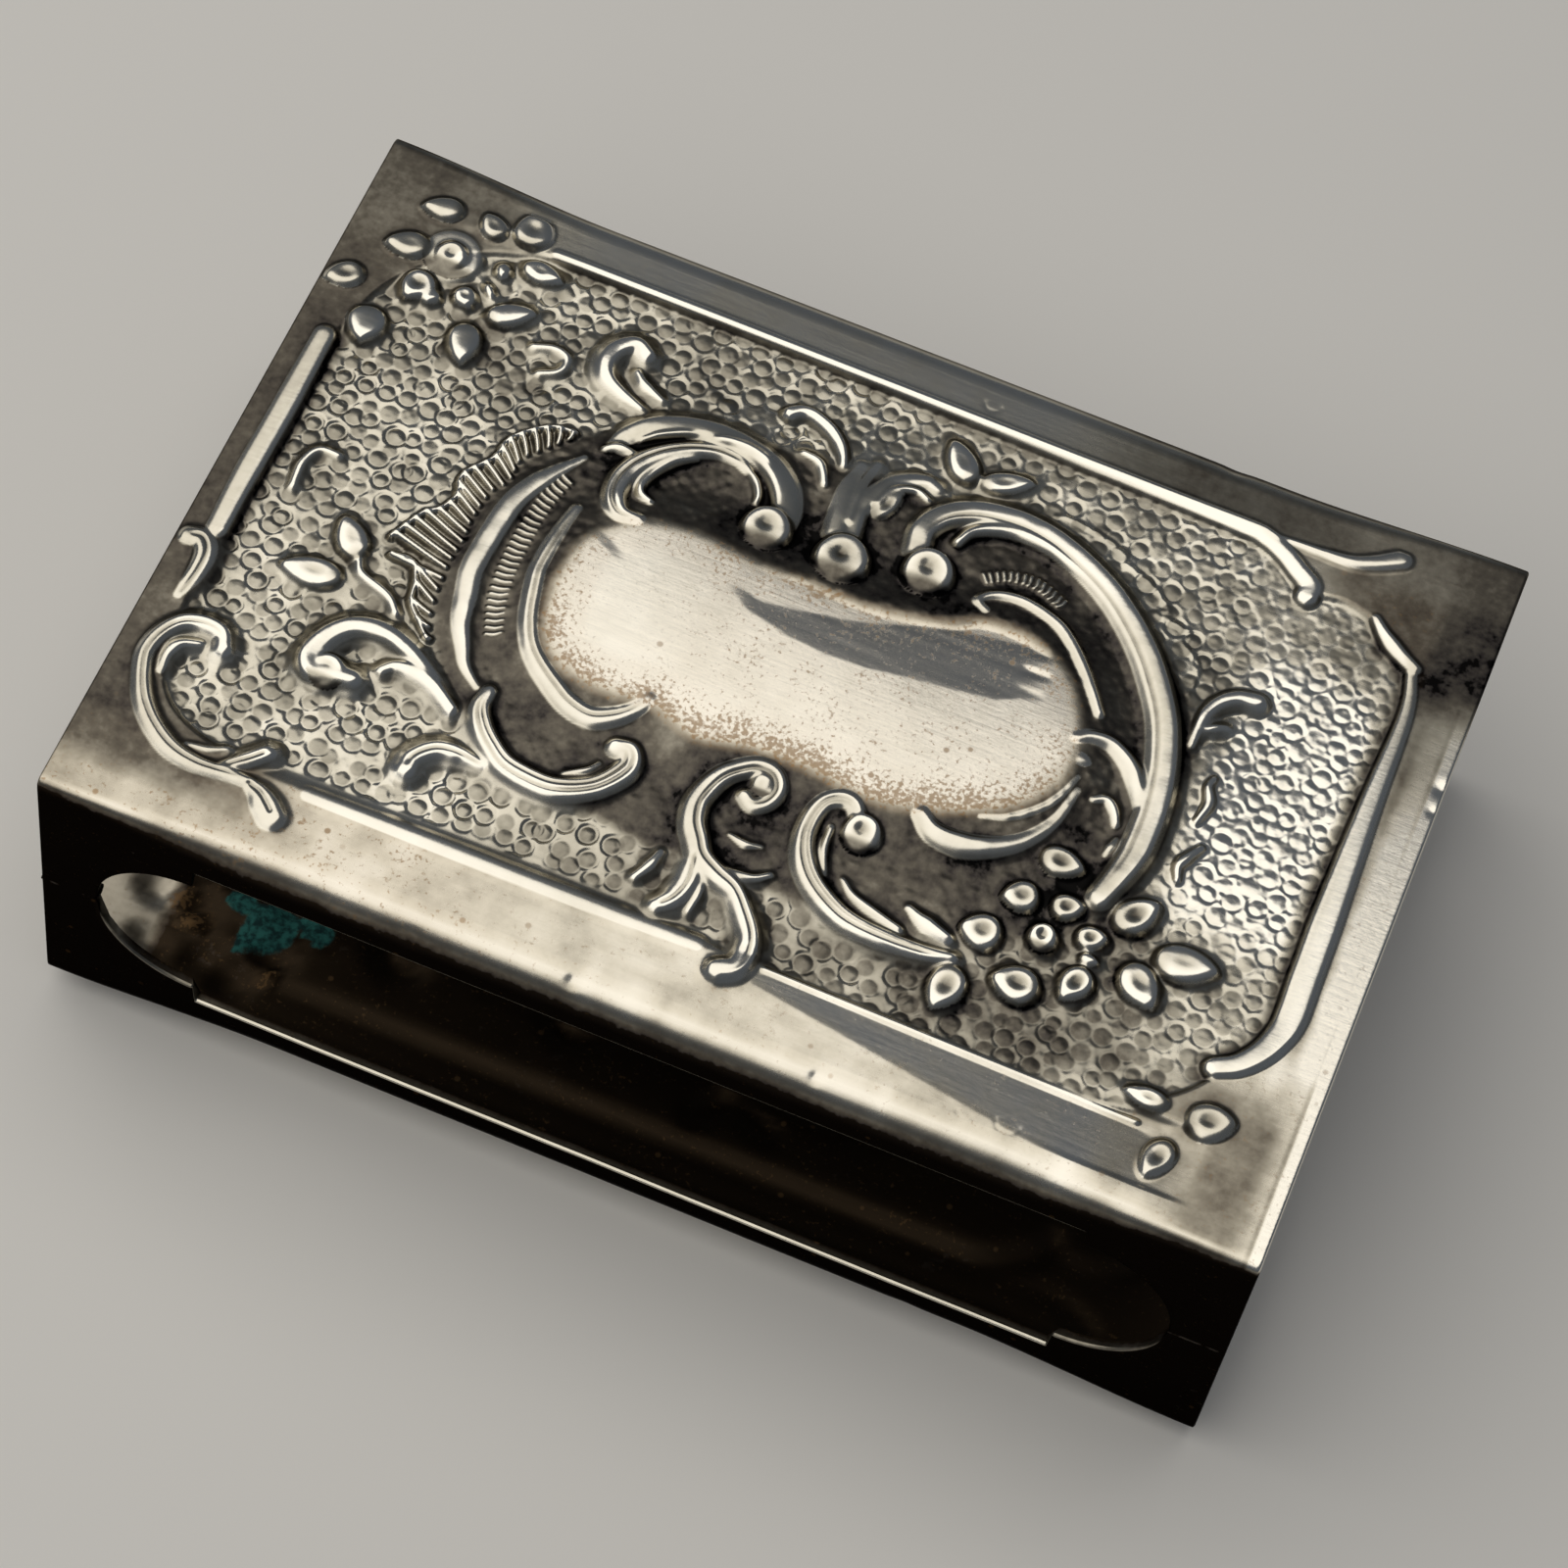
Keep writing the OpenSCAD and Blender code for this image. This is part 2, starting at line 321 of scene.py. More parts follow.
    def bead(self, height, x, y, radius, dimple):
        """Strikes a bead: a dome, (1 - r^5)^0.6 of its height, less a dimple up and left of its top."""
        x, y = seen([x, y], BEAD_READ_AT * height)
        part = self.grid.window((x - radius, y - radius), (x + radius, y + radius), 1.4)
        across, up = self.grid.x[part] - x, self.grid.y[part] - y
        away = np.hypot(across, up)
        inside = away < radius
        dome = (1.0 - np.clip(away / radius, 0.0, 1.0) ** 5) ** 0.6 * (1.0 + BEAD_LEAN * up / radius)
        hollow = bell(np.hypot(across + 0.08 * radius, up - 0.12 * radius), 0.26 * radius)
        shape = np.where(inside, height * dome - dimple * hollow, 0.9 * (radius - away))
        self.strike(part, shape, away - radius)
        # painted shade: the front half of the bead is darkened, and this goes into the dull mask
        front_shade = ramp(-0.2, -0.6, up / radius)
        self.tarnish(part, np.maximum(min(2.2 * dimple, 0.8) * hollow, 1.1 * front_shade) * inside)

    def ribs(self, height, outer, inner, count, widths):
        """Strikes short thin ribs between two curves, at even shares of their lengths."""
        bow = (0.05, -0.05)
        a, b = curve(outer)[0], curve(inner)[0]
        share = np.linspace(0.02, 0.98, count)
        starts = a[(share * (len(a) - 1)).astype(int)]
        ends = b[(share * (len(b) - 1)).astype(int)]
        for p, q in zip(starts, ends):
            self.ridge(Ridge(height, widths, [p, (p + q) / 2 + bow, q], **THIN))


# Ridges of the frame
RAILS = [
    Ridge(0.2, (0.35, 0.4, 0.4, 0.45, 0.55, 0.8),
          [(-19.6, 16.45), (-10, 16.5), (5, 16.5), (15, 16.5), (16.6, 16.35), (17.7, 15.9), (18.6, 15.3),
           (19.4, 14.75), (19.45, 14.1)], flank=0.12, foot=3),
    Ridge(0.24, (0.15, 0.3, 0.55, 0.75),
          [(17.2, 16.55), (19.2, 16.65), (20.8, 16.8), (21.9, 17.25), (23, 17.95)], flank=0.2, foot=2),
    Ridge(0.22, (0.3, 0.6, 0.5),
          [(22.9, 14.35), (23.6, 13.65), (24.5, 13), (25.5, 12.45)], flank=0.15, foot=3),
    Ridge(0.26, (0.5, 0.9, 1.25, 1.55, 1.55, 1.1),
          [(25.4, 12.4), (25.9, 10), (25.9, 5), (25.95, 0), (26.05, -5.1), (26.1, -7.7), (25.8, -9),
           (25.3, -10), (24.6, -10.8), (23.7, -11.3)], flank=-0.05, foot=3),
    Ridge(0.24, (0.9, 1.05, 1.05, 0.9),
          [(-27.45, 7.6), (-27.45, 3), (-27.5, -1), (-27.45, -4.1)], flank=0.12, foot=3),
    Ridge(0.06, (0.4, 0.5, 0.5, 0.4), [(-18.2, -15.2), (-12, -15.2), (-5, -15.2), (0.2, -15.1)]),
    Ridge(0.12, (0.15, 0.2, 0.18, 0.15),
          [(3.4, -14.9), (9, -15), (15, -15.1), (21.4, -15.2)], flank=0, foot=3),
    Ridge((0.3, 0.36, 0.3, 0.14), (0.8, 0.9, 0.75, 0.6, 0.3),
          [(-28.4, -5), (-27.8, -4.9), (-27.35, -5.5), (-27.3, -6.6), (-27.55, -8)],
          grooves=[(0.1, 0.1)], tilt=-1, flank=0.2),
]
# Ridges round the plaque and in the corners
SCROLLS = [
    # right scroll and the rib along it
    Ridge(0.56, (1.12, 1.25, 1.25, 1.25, 1.31, 1.38, 1.38, 1.38, 1.38, 1),
          [(1.7, 8.4), (1.6, 9.6), (2.3, 10.8), (3.6, 11.6), (5.2, 11.95), (6.6, 11.9), (8, 11.55),
           (9.5, 10.9), (11, 10), (12.4, 8.8), (13.6, 7.5), (14.6, 6.1), (15.4, 4.7), (16, 3.1),
           (16.4, 1.5), (16.6, 0), (16.65, -1.3), (16.6, -2.6), (16.3, -4), (15.9, -5.3)],
          grooves=[(-0.45, 0.06)]),
    Ridge(0.5, (0.38, 0.5, 0.5, 0.38, 0.25),
          [(3.3, 9.6), (3.7, 10.4), (4.6, 11), (5.8, 11.3), (7.2, 11.2), (8.6, 10.7), (9.8, 10.1)]),
    # left scroll, and the one along the plaque
    Ridge(0.28, (0.19, 0.69, 0.81, 0.81, 0.75, 0.5, 0.19),
          [(-14.05, 6.4), (-15, 5), (-15.7, 3.7), (-16.1, 2.4), (-16.3, 0), (-16.3, -1.5), (-16, -2.8),
           (-15.7, -4.1), (-15.1, -5.3), (-14.6, -6.2), (-13.7, -7)]),
    Ridge(0.36, (0.38, 0.56, 0.62, 0.62, 0.75, 0.75, 0.5),
          [(-13.3, 3.6), (-13.5, 2), (-13.6, 0), (-13.4, -1.3), (-13, -2.8), (-12.4, -4.1), (-11.6, -5),
           (-10.5, -5.8), (-9.6, -6.3), (-8.45, -6.5), (-7.4, -6), (-6.65, -5.25), (-6.4, -4.6)],
          grooves=[(0.3, 0.08)]),
    # upper left scroll: its rolled back, main, inner and upper ridges
    Ridge((0.3, 0.42, 0.46, 0.48, 0.5, 0.5), (0.5, 1, 1.12, 1.12, 1.12, 1.25, 1.12),
          [(-13.1, 7.7), (-12.6, 8.7), (-11.4, 9.7), (-9.6, 10.3), (-8, 10.35), (-6.3, 9.9), (-5.2, 9),
           (-4.6, 7.9), (-4.5, 7)], tilt=-1.5),
    Ridge(0.6, (0.5, 0.88, 1.06, 1, 0.75, 0.56, 0.38),
          [(-10.5, 4.15), (-11.4, 4.15), (-12, 4.9), (-12.1, 6), (-11.7, 7.1), (-10.9, 8.1), (-9.9, 8.9),
           (-8.7, 9.4), (-7.7, 9.4), (-7, 9.1)], grooves=[(0.2, 0.12)]),
    Ridge(0.48, (0.25, 0.44, 0.44, 0.25),
          [(-10.4, 5.35), (-11, 5.6), (-11.15, 6.2), (-10.9, 7), (-10.3, 7.9), (-9.4, 8.6)]),
    Ridge(0.62, (0.15, 0.38, 0.4, 0.35, 0.19),
          [(-9.5, 9.7), (-8.6, 10.05), (-7.5, 10.15), (-6.5, 9.9), (-5.7, 9.4)]),
    Ridge(0.54, (0.12, 0.25, 0.25, 0.12), [(-12.1, 8.5), (-11.3, 9.1), (-10.4, 9.6), (-9.6, 9.85)]),
    Ridge(0.4, (0.25, 0.44, 0.31), [(-13.4, 7.3), (-12.9, 7.55), (-12.2, 7.55)]),
    Ridge(0.38, (0.19, 0.28, 0.28, 0.19), [(-7, 9), (-6.4, 8.5), (-6.05, 7.9), (-6, 7.5)]),
    # small scrolls above
    Ridge(0.42, (0.62, 0.75, 0.75, 0.62, 0.44, 0.19),
          [(-13.7, 13.1), (-14.4, 13.4), (-15.1, 12.8), (-15.25, 11.9), (-14.9, 11.1), (-14, 10.6),
           (-12.8, 10.2)]),
    Ridge(0.26, (0.19, 0.38, 0.12), [(-13.7, 12), (-13.1, 11.4), (-12.1, 11)]),
    Ridge(0.38, (0.7, 0.6, 0.6, 0.5, 0.25),
          [(-6.4, 13), (-6, 13.3), (-5.4, 13.35), (-4.5, 13), (-3.8, 12.5), (-3.35, 11.9), (-3.1, 11.3)],
          flank=0.08, foot=2),
    Ridge(0.28, (0.19, 0.31, 0.19), [(-5, 11.1), (-4.2, 10.9), (-3.8, 10.4), (-3.5, 9.8)]),
    # right inner scrolls
    Ridge(0.34, (0.31, 0.44, 0.5, 0.5, 0.38),
          [(5.8, 6.4), (5.3, 6.8), (5.8, 7.4), (6.8, 7.7), (7.8, 7.65), (9.2, 7.2), (10.2, 6.4),
           (11, 5.5), (11.8, 4.5), (12.6, 3.4)]),
    Ridge(0.42, (0.44, 0.62, 0.69, 0.44),
          [(12.1, 1.7), (12.7, 2.1), (13.7, 2.2), (14.8, 1.6), (15.5, 0.7), (16, -0.2)]),
    Ridge(0.28, (0.19, 0.38, 0.25), [(13.9, -0.9), (14.5, -0.6), (15, -1), (15.3, -1.6)]),
    Ridge(0.22, (0.12, 0.25, 0.12), [(15.6, -2.3), (15.5, -2.8), (15.4, -3.3)]),
    Ridge(0.26, (0.12, 0.25, 0.25, 0.12),
          [(12.9, -0.25), (12.4, -1.7), (11.7, -2.7), (10.65, -3.6), (9.5, -4.1)]),
    Ridge((0.3, 0.36, 0.44, 0.46), (0.19, 0.38, 0.62, 0.94, 0.62),
          [(13.1, -0.8), (12.7, -2.6), (11.9, -4), (10.9, -4.9), (9.7, -5.5), (8.7, -5.7), (7.7, -5.6),
           (7, -5.1)]),
    Ridge(0.34, (0.75, 0.62, 0.44, 0.25),
          [(19.2, 7.6), (18.3, 7.4), (17.6, 6.8), (17.2, 6), (17.1, 5), (17.1, 4)],
          tilt=-0.5, flank=0.15, foot=2),
    Ridge(0.22, (0.12, 0.25, 0.12), [(17.3, 4.9), (17.8, 5.3), (18.3, 5.6)]),
    # left leaf scroll
    Ridge(0.5, (0.19, 0.5, 0.69, 0.81, 0.88, 1, 1, 0.75),
          [(-14.6, -7.8), (-15.9, -7.05), (-17.2, -6.3), (-18.5, -5.9), (-19.7, -6.1), (-20.5, -6.8),
           (-20.9, -7.7), (-21, -8.5), (-20.5, -9), (-19.6, -8.8), (-18.9, -8.7)], tilt=-0.8),
    Ridge(0.36, (0.31, 0.56, 0.56, 0.5),
          [(-17.9, -7.8), (-17.4, -7.4), (-16.5, -7.4), (-15.5, -7.7), (-14.3, -8.5)]),
    # corner scroll at the front left
    Ridge(0.42, (0.62, 0.62, 0.62, 0.62, 0.69, 0.75, 0.56, 0.44),
          [(-24.6, -9.7), (-25, -9), (-25.9, -8.85), (-26.8, -9.2), (-27.4, -10.1), (-27.6, -11.2),
           (-27.3, -12.3), (-26.7, -13.5), (-25.8, -14.5), (-24.6, -15.3), (-23.3, -15.6), (-21.8, -15.5),
           (-20.7, -15.5)], grooves=[(0.2, 0.1)]),
    Ridge(0.4, (0.38, 0.75, 1.12, 1.12),
          [(-20.9, -15.5), (-20.2, -15.8), (-19.6, -16.3), (-19.2, -16.7)], grooves=[(0.1, 0.14)]),
    Ridge(0.28, (0.19, 0.44, 0.25), [(-25.6, -9.9), (-26.4, -10.3), (-26.7, -11), (-26.6, -11.9)]),
    Ridge(0.36, (0.38, 0.62, 0.62),
          [(-22.1, -15.2), (-21.3, -14.5), (-20.65, -13.8)], grooves=[(0, 0.1)]),
    Ridge(0.18, (0.12, 0.19, 0.12), [(-24, -14.9), (-23.1, -14.8), (-22.3, -14.4)]),
    # lower left scroll
    Ridge(0.5, (0.5, 0.81, 0.88, 1, 1, 0.94, 1.06, 0.75),
          [(-13.1, -6.9), (-13.15, -7.8), (-12.7, -8.7), (-11.9, -9.5), (-10.9, -10.15), (-9.2, -10.4),
           (-8.1, -10.2), (-7, -9.6), (-6.3, -8.8), (-5.95, -7.95), (-6.2, -7.3), (-6.8, -7.3)],
          grooves=[(-0.25, 0.1), (0.45, 0.1)]),
    Ridge(0.3, (0.12, 0.25, 0.12), [(-8.45, -9.5), (-7.6, -9), (-7.2, -8.4)]),
    Ridge(0.4, (0.75, 0.75, 0.62, 0.25),
          [(-14.9, -12), (-14.8, -11.3), (-14.1, -10.6), (-13.1, -10.4), (-11.9, -10.5)],
          grooves=[(0, 0.1)]),
    # lower middle scroll and its leaves
    Ridge(0.54, (0.5, 0.62, 0.69, 0.75, 0.94, 1.06, 1.06, 0.94, 0.69, 0.81, 0.94, 1),
          [(-0.7, -7.2), (-0.2, -7.5), (0.4, -7.1), (0.6, -6.4), (0.2, -5.8), (-0.6, -5.7), (-1.3, -6.1),
           (-1.9, -6.7), (-2.3, -7.5), (-2.5, -8.4), (-2.3, -9.4), (-1.8, -10.2), (-1.3, -10.9),
           (-0.4, -11.4), (0.65, -11.8), (1.4, -12.6), (2.1, -13.6), (2.3, -14.5), (2.1, -15.3),
           (1.5, -15.7)], grooves=[(0.3, 0.12)]),
    Ridge(0.24, (0.12, 0.31, 0.12), [(-0.5, -9.4), (0.27, -9.6), (1, -9.4)]),
    Ridge(0.3, (0.25, 0.38, 0.19), [(-1, -10.9), (0.15, -11.15), (1.2, -11), (1.9, -10.5)]),
    Ridge(0.38, (0.5, 0.81, 0.81, 0.5),
          [(-1.6, -10.9), (-1.4, -12.2), (-1.65, -13.2), (-2.2, -13.85)], grooves=[(0.1, 0.1)]),
    Ridge(0.24, (0.19, 0.25, 0.12), [(-1, -11.5), (-0.7, -12.6), (-0.8, -13.6)]),
    Ridge(0.28, (0.19, 0.38, 0.19), [(-3, -11.4), (-3.25, -12.3), (-3.6, -12.95)]),
    # lower right scroll and its leaves
    Ridge(0.52, (0.56, 0.62, 0.75, 0.94, 0.94, 0.88, 0.75, 0.56, 0.38),
          [(4.4, -6.2), (4, -5.75), (3.4, -5.7), (2.8, -6.1), (2.5, -6.9), (2.5, -7.95), (2.85, -9),
           (3.5, -9.9), (4.5, -10.65), (5.8, -11.2), (7.45, -11.35), (9.5, -11.2), (10.8, -10.9)],
          grooves=[(0, 0.12), (0.5, 0.08)]),
    Ridge(0.32, (0.19, 0.31, 0.12), [(3.5, -7.2), (3.6, -8.4), (4.1, -9.5)]),
    Ridge(0.28, (0.12, 0.38, 0.25), [(4.95, -9.4), (5.65, -10), (6.8, -10.4), (8.15, -10.7)]),
    Ridge(0.32, (0.25, 0.62, 0.38), [(8.2, -9.5), (9, -9.9), (10.3, -10.2)]),
    # fluted neck and hood over the middle bead, falling to the back
    Ridge((0.5, 0.36, 0.2, 0.04), (0.95, 0.75, 0.55, 0.3),
          [(-2.05, 7.4), (-2.3, 8.8), (-2.45, 10.2), (-2.25, 11.6)]),
    Ridge((0.5, 0.34, 0.18, 0.02), (0.4, 0.36, 0.3, 0.2),
          [(-1.75, 8.2), (-1.85, 9.4), (-1.85, 10.6), (-1.6, 12)]),
    Ridge((0.5, 0.38, 0.3, 0.22, 0.1), (0.8, 0.62, 0.55, 0.45, 0.25),
          [(-1.35, 7.6), (-1.45, 9), (-1.2, 10.4), (-0.55, 11.5), (0.6, 12.2), (1.3, 12.1)]),
    Ridge((0.4, 0.36, 0.3), (0.31, 0.31, 0.19), [(-0.9, 9.8), (-0.5, 10.9), (0.5, 11.4), (1.2, 11.2)]),
    # stems of the left buds
    Ridge(0.24, (0.19, 0.25, 0.19), [(-21.1, -3), (-20.7, -3.6), (-19.2, -4.2), (-18.5, -4.9)]),
    # thin arcs among the bubbles
    Ridge(0.14, (0.12, 0.2, 0.2, 0.12),
          [(-25.4, -0.6), (-25.5, 0.8), (-25.1, 1.7), (-24.2, 1.8)], flank=0.1),
    Ridge(0.12, (0.12, 0.18, 0.12),
          [(-18.6, 11.2), (-17.6, 11.5), (-16.9, 11.2), (-17, 10.4), (-17.8, 9.9)], flank=0.1),
    Ridge(0.2, (0.2, 0.45, 0.2),
          [(18.7, 2.8), (18.6, 2.2), (18.9, 1.4), (18.7, 0.3)], flank=0.05, foot=3),
    Ridge(0.2, (0.2, 0.45, 0.2),
          [(19.4, -0.9), (19, -1.6), (18.7, -2.3), (18.9, -3)], flank=0.05, foot=3),
]
# Faint lines on the ground: the wavy edge of the right fringe, and a leaf over the upper left scroll
FAINT = [
    Ridge(0.07, (0.1, 0.2, 0.2, 0.2, 0.1),
          [(7, 13.1), (7.7, 13.3), (9.5, 13), (10.7, 12.5), (10.9, 12.1), (12.1, 11.7), (13, 11.15),
           (13.6, 10.5), (13.3, 10.1), (14.9, 9.8), (15, 9.1), (15.9, 8.3), (16.1, 7.4), (16, 6.5)]),
    Ridge(0.09, (0.2, 0.7, 0.3), [(-10.3, 12.6), (-9.5, 11.9), (-8.5, 11.2)]),
]
# Petals and leaves: the point that they spread from, then each one's height, x, y, length, width, angle,
# cup and lean
PETALS = [
    # flower at the back left, with its leaves
    ((-24, 14.2), [
        (0.4, -25.4, 16.5, 2.2, 1.5, 15, 0, -0.25), (0.36, -22.9, 16.6, 1.8, 1.4, -40, 0.2, -0.2),
        (0.42, -26.1, 13.9, 2.3, 1.7, 18, 0.1, -0.25), (0.42, -24.75, 11.95, 2, 1.8, 70, 0.4, -0.1),
        (0.28, -23.9, 11.6, 1, 0.8, 60, 0, -0.2), (0.28, -21.5, 14.45, 1, 0.8, 100, 0, -0.2),
        (0.32, -22.5, 12.3, 1.3, 1.2, -50, 0.3, -0.1), (0.44, -21.1, 17.25, 2.4, 2.1, -80, 0.25, -0.2),
        (0.34, -19.8, 15.15, 2.2, 1.3, -5, 0.2, -0.2), (0.32, -20.2, 12.35, 2.5, 1.4, 30, 0, -0.25),
        (0.38, -21.55, 9.9, 2.5, 1.7, -75, 0, -0.25), (0.36, -28, 11.05, 2.1, 1.6, 35, 0.3, -0.2),
        (0.4, -26, 8.95, 2.3, 2, -80, 0, -0.25), (0.2, -21.65, 13.15, 0.9, 0.45, -50, 0, 0)]),
    # left buds
    ((-19.2, -4.2), [(0.36, -21.9, -2, 2.5, 1.6, -50, 0.1, 0), (0.3, -22.8, -4.4, 3, 1.6, 8, 0.2, 0.1)]),
    # leaves at the top
    ((3, 12.4), [(0.38, 1.9, 13.95, 2.7, 1.6, -50, 0.1, -0.2), (0.3, 4.3, 13.75, 2.7, 1.3, 25, 0.2, 0)]),
    # leaf under the hood
    ((-0.8, 8.6), [(0.34, -0.35, 10, 2.2, 1, 68, 0.3, 0)]),
    # flower at the front right, with its leaves
    ((14.25, -8.4), [
        (0.42, 12.6, -6.9, 1.9, 1.7, 25, 0.3, 0.1), (0.38, 14.8, -6.5, 1.7, 1.4, 20, 0.45, 0.1),
        (0.42, 11.55, -9.25, 2.1, 1.9, 10, 0.35, 0.1), (0.48, 13.9, -11.05, 2.4, 2, 5, 0.4, 0),
        (0.4, 16.4, -10, 2.1, 1.6, 70, 0.5, 0.1), (0.36, 16.35, -7.5, 1.6, 1.3, 20, 0.5, 0.1),
        (0.26, 16.6, -8.6, 1, 0.7, 0, 0, 0), (0.4, 13.8, -4.5, 2.3, 1.6, 0, 0.4, 0.2),
        (0.44, 17.85, -5.5, 2.6, 1.8, 50, 0.45, 0.1), (0.46, 20.8, -6.95, 3.1, 2, 8, 0.12, 0),
        (0.42, 19.2, -8.85, 2.6, 1.9, -45, 0.25, 0), (0.36, 11.1, -12.55, 2.5, 1.8, 80, 0.4, 0)]),
    # leaves at the front right corner
    ((22.6, -14.4), [
        (0.3, 21.35, -14, 2.2, 1.1, 0, 0.3, 0.1), (0.42, 24.5, -14, 2.4, 2, 20, 0.4, 0.1),
        (0.38, 22.8, -16.6, 2.3, 1.5, 75, 0.45, 0.1)]),
    # small leaf in the right scroll
    ((12, 0.6), [(0.24, 12.8, 0.6, 0.9, 0.7, 0, 0, 0)]),
]
# Beads: height, x, y, radius, dimple
BEADS = [
    (0.68, -5, 6.3, 1.3, 0.2), (0.78, -1.25, 6.25, 1.45, 0.3), (0.72, 2.65, 7.35, 1.35, 0.2),
    (0.48, -20, -8.9, 0.95, 0.12), (0.48, 4.9, -7, 1, 0.22), (0.05, -24, 14.2, 1.4, 0),
    (0.34, -24, 14.2, 0.85, 0.2), (0.46, 14.25, -8.4, 0.75, 0.3), (0.42, -0.1, -6.6, 0.55, 0.05),
]
# Fringe of ribs along the left scroll, and the rows of ticks by the two large scrolls
FRINGE = [
    (-14.9, 7.5), (-15.9, 7.4), (-16.8, 6.8), (-17.6, 5.8), (-17.8, 4.6), (-18.7, 3.2), (-18.5, 2),
    (-18.9, 1), (-19.5, 0.5), (-20.3, -1.2)]
FRINGE_ROOT = [
    (-15, 7.2), (-16.2, 5.8), (-16.7, 5.1), (-16.7, 3.7), (-17.2, 2.9), (-17.4, 1.1), (-17.3, 0),
    (-17.4, -1.3), (-17.4, -2)]
LOW_FRINGE = [(-19.95, -2.1), (-19, -2.05), (-18.4, -2.9), (-18.1, -4.1), (-17.4, -4.9), (-16.7, -5.6)]
LOW_FRINGE_ROOT = [(-17.35, -2.3), (-17.3, -3.2), (-17.1, -4.2), (-16.9, -4.9), (-16.5, -5.6)]
LEFT_TICKS = [(-14.6, 5.2), (-15.1, 3), (-15.25, 0), (-15, -2.4), (-14.3, -4.6)]
LEFT_TICKS_ROOT = [(-14, 4.9), (-14.4, 3), (-14.5, 0), (-14.3, -2.2), (-13.7, -4.3)]
RIGHT_TICKS = [(5, 8.3), (6.2, 9), (7.6, 9.2), (9.2, 8.6)]
RIGHT_TICKS_ROOT = [(5.3, 7.9), (6.3, 8.5), (7.6, 8.6), (8.9, 8.1)]
# Outlines of the plaque and of the sunk field
PLAQUE = [
    (-12.6, -0.25), (-12.1, -2.7), (-11, -4.1), (-8.8, -4.7), (-6.2, -4.5), (-3.9, -5.2), (-1.3, -4.7),
    (1.6, -4.6), (3.8, -4.9), (6, -4.7), (7.9, -4), (9.8, -3.1), (11.2, -1.9), (12.1, -0.25), (12.2, 1.5),
    (11.6, 3.3), (10.3, 5), (8.3, 6), (6, 6), (4.5, 5.2), (2, 4.6), (0.1, 4.4), (-2.1, 4.5), (-4, 4.4),
    (-5.4, 4.5), (-7.3, 4.7), (-8.8, 4.6), (-10.2, 4.2), (-11.4, 3.4), (-12.3, 2)]
FIELD = [
    (-27.1, 7.5), (-27.15, 0), (-27.1, -6), (-26.8, -10.5), (-25.5, -13.2), (-22.5, -14.5), (-18, -14.65),
    (-5, -14.65), (8, -14.95), (19.5, -15.1), (22.4, -13.4), (24.2, -11.2), (25.3, -8.8), (25.65, -3),
    (25.6, 5), (25.5, 10.5), (24.9, 12.6), (23.4, 13.8), (21.4, 14.4), (19.9, 14.3), (18.8, 15.1),
    (16.7, 16.15), (14, 16.4), (0, 16.4), (-12, 16.4), (-19, 16.1), (-23.2, 14.6), (-25.9, 11.6)]
# Rows of ribs: height, outer curve, inner curve, count, widths along a rib
RIBS = [
    (0.26, FRINGE, FRINGE_ROOT, 19, (0.28, 0.22, 0.12)),
    (0.24, LOW_FRINGE, LOW_FRINGE_ROOT, 6, (0.26, 0.2, 0.12)),
    (0.12, LEFT_TICKS, LEFT_TICKS_ROOT, 27, (0.1, 0.12, 0.08)),
    (0.09, RIGHT_TICKS, RIGHT_TICKS_ROOT, 14, (0.08, 0.1, 0.08)),
]
FRINGE_EDGES = [
    Ridge(0.24, (0.15, 0.2, 0.2, 0.2), FRINGE, **THIN),
    Ridge(0.24, (0.15, 0.2, 0.15), LOW_FRINGE, **THIN),
]
# Shallow bend of the plaque that mirrors the dark of the room: its front line, and its reach behind it
BEND_LINE = [
    (-5, 2.2), (-3.4, 1.4), (-1.4, 0.9), (0.6, 0.7), (2.6, 0.8), (4.6, 1.2), (6.6, 1.4), (8.6, 1.7),
    (9.6, 2.3)]
BEND_REACH = [(-5, 0.4), (-3, 0.8), (0, 2), (2.5, 2.6), (5, 3.4)]
BEND_SLOPE = 0.075
STREAK_SLOPE = 0.05

# Height at which the plaque's outline was read
PLAQUE_READ_AT = 0.9
# Rise of the ground under the scrolls and round the plaque, and depth of the field
SWELL = 0.5
BANK = 0.66
SUNK = 0.22
# Shares of the ground's rise and of its sag that the motifs follow
LIFT_SHARE = 0.6
SAG_SHARE = 0.8
# Slopes of the dished stretch at the front and of the margin at the back
DISH_SLOPE = 0.11
BACK_SLOPE = 0.065
# Motifs and ground run into each other over this height.
BLEND = 0.14
# Tops are flattened from this height on, so that none stands out of the relief.
FLATTEN_FROM = 1.0
FLATTEN_BY = RELIEF - FLATTEN_FROM


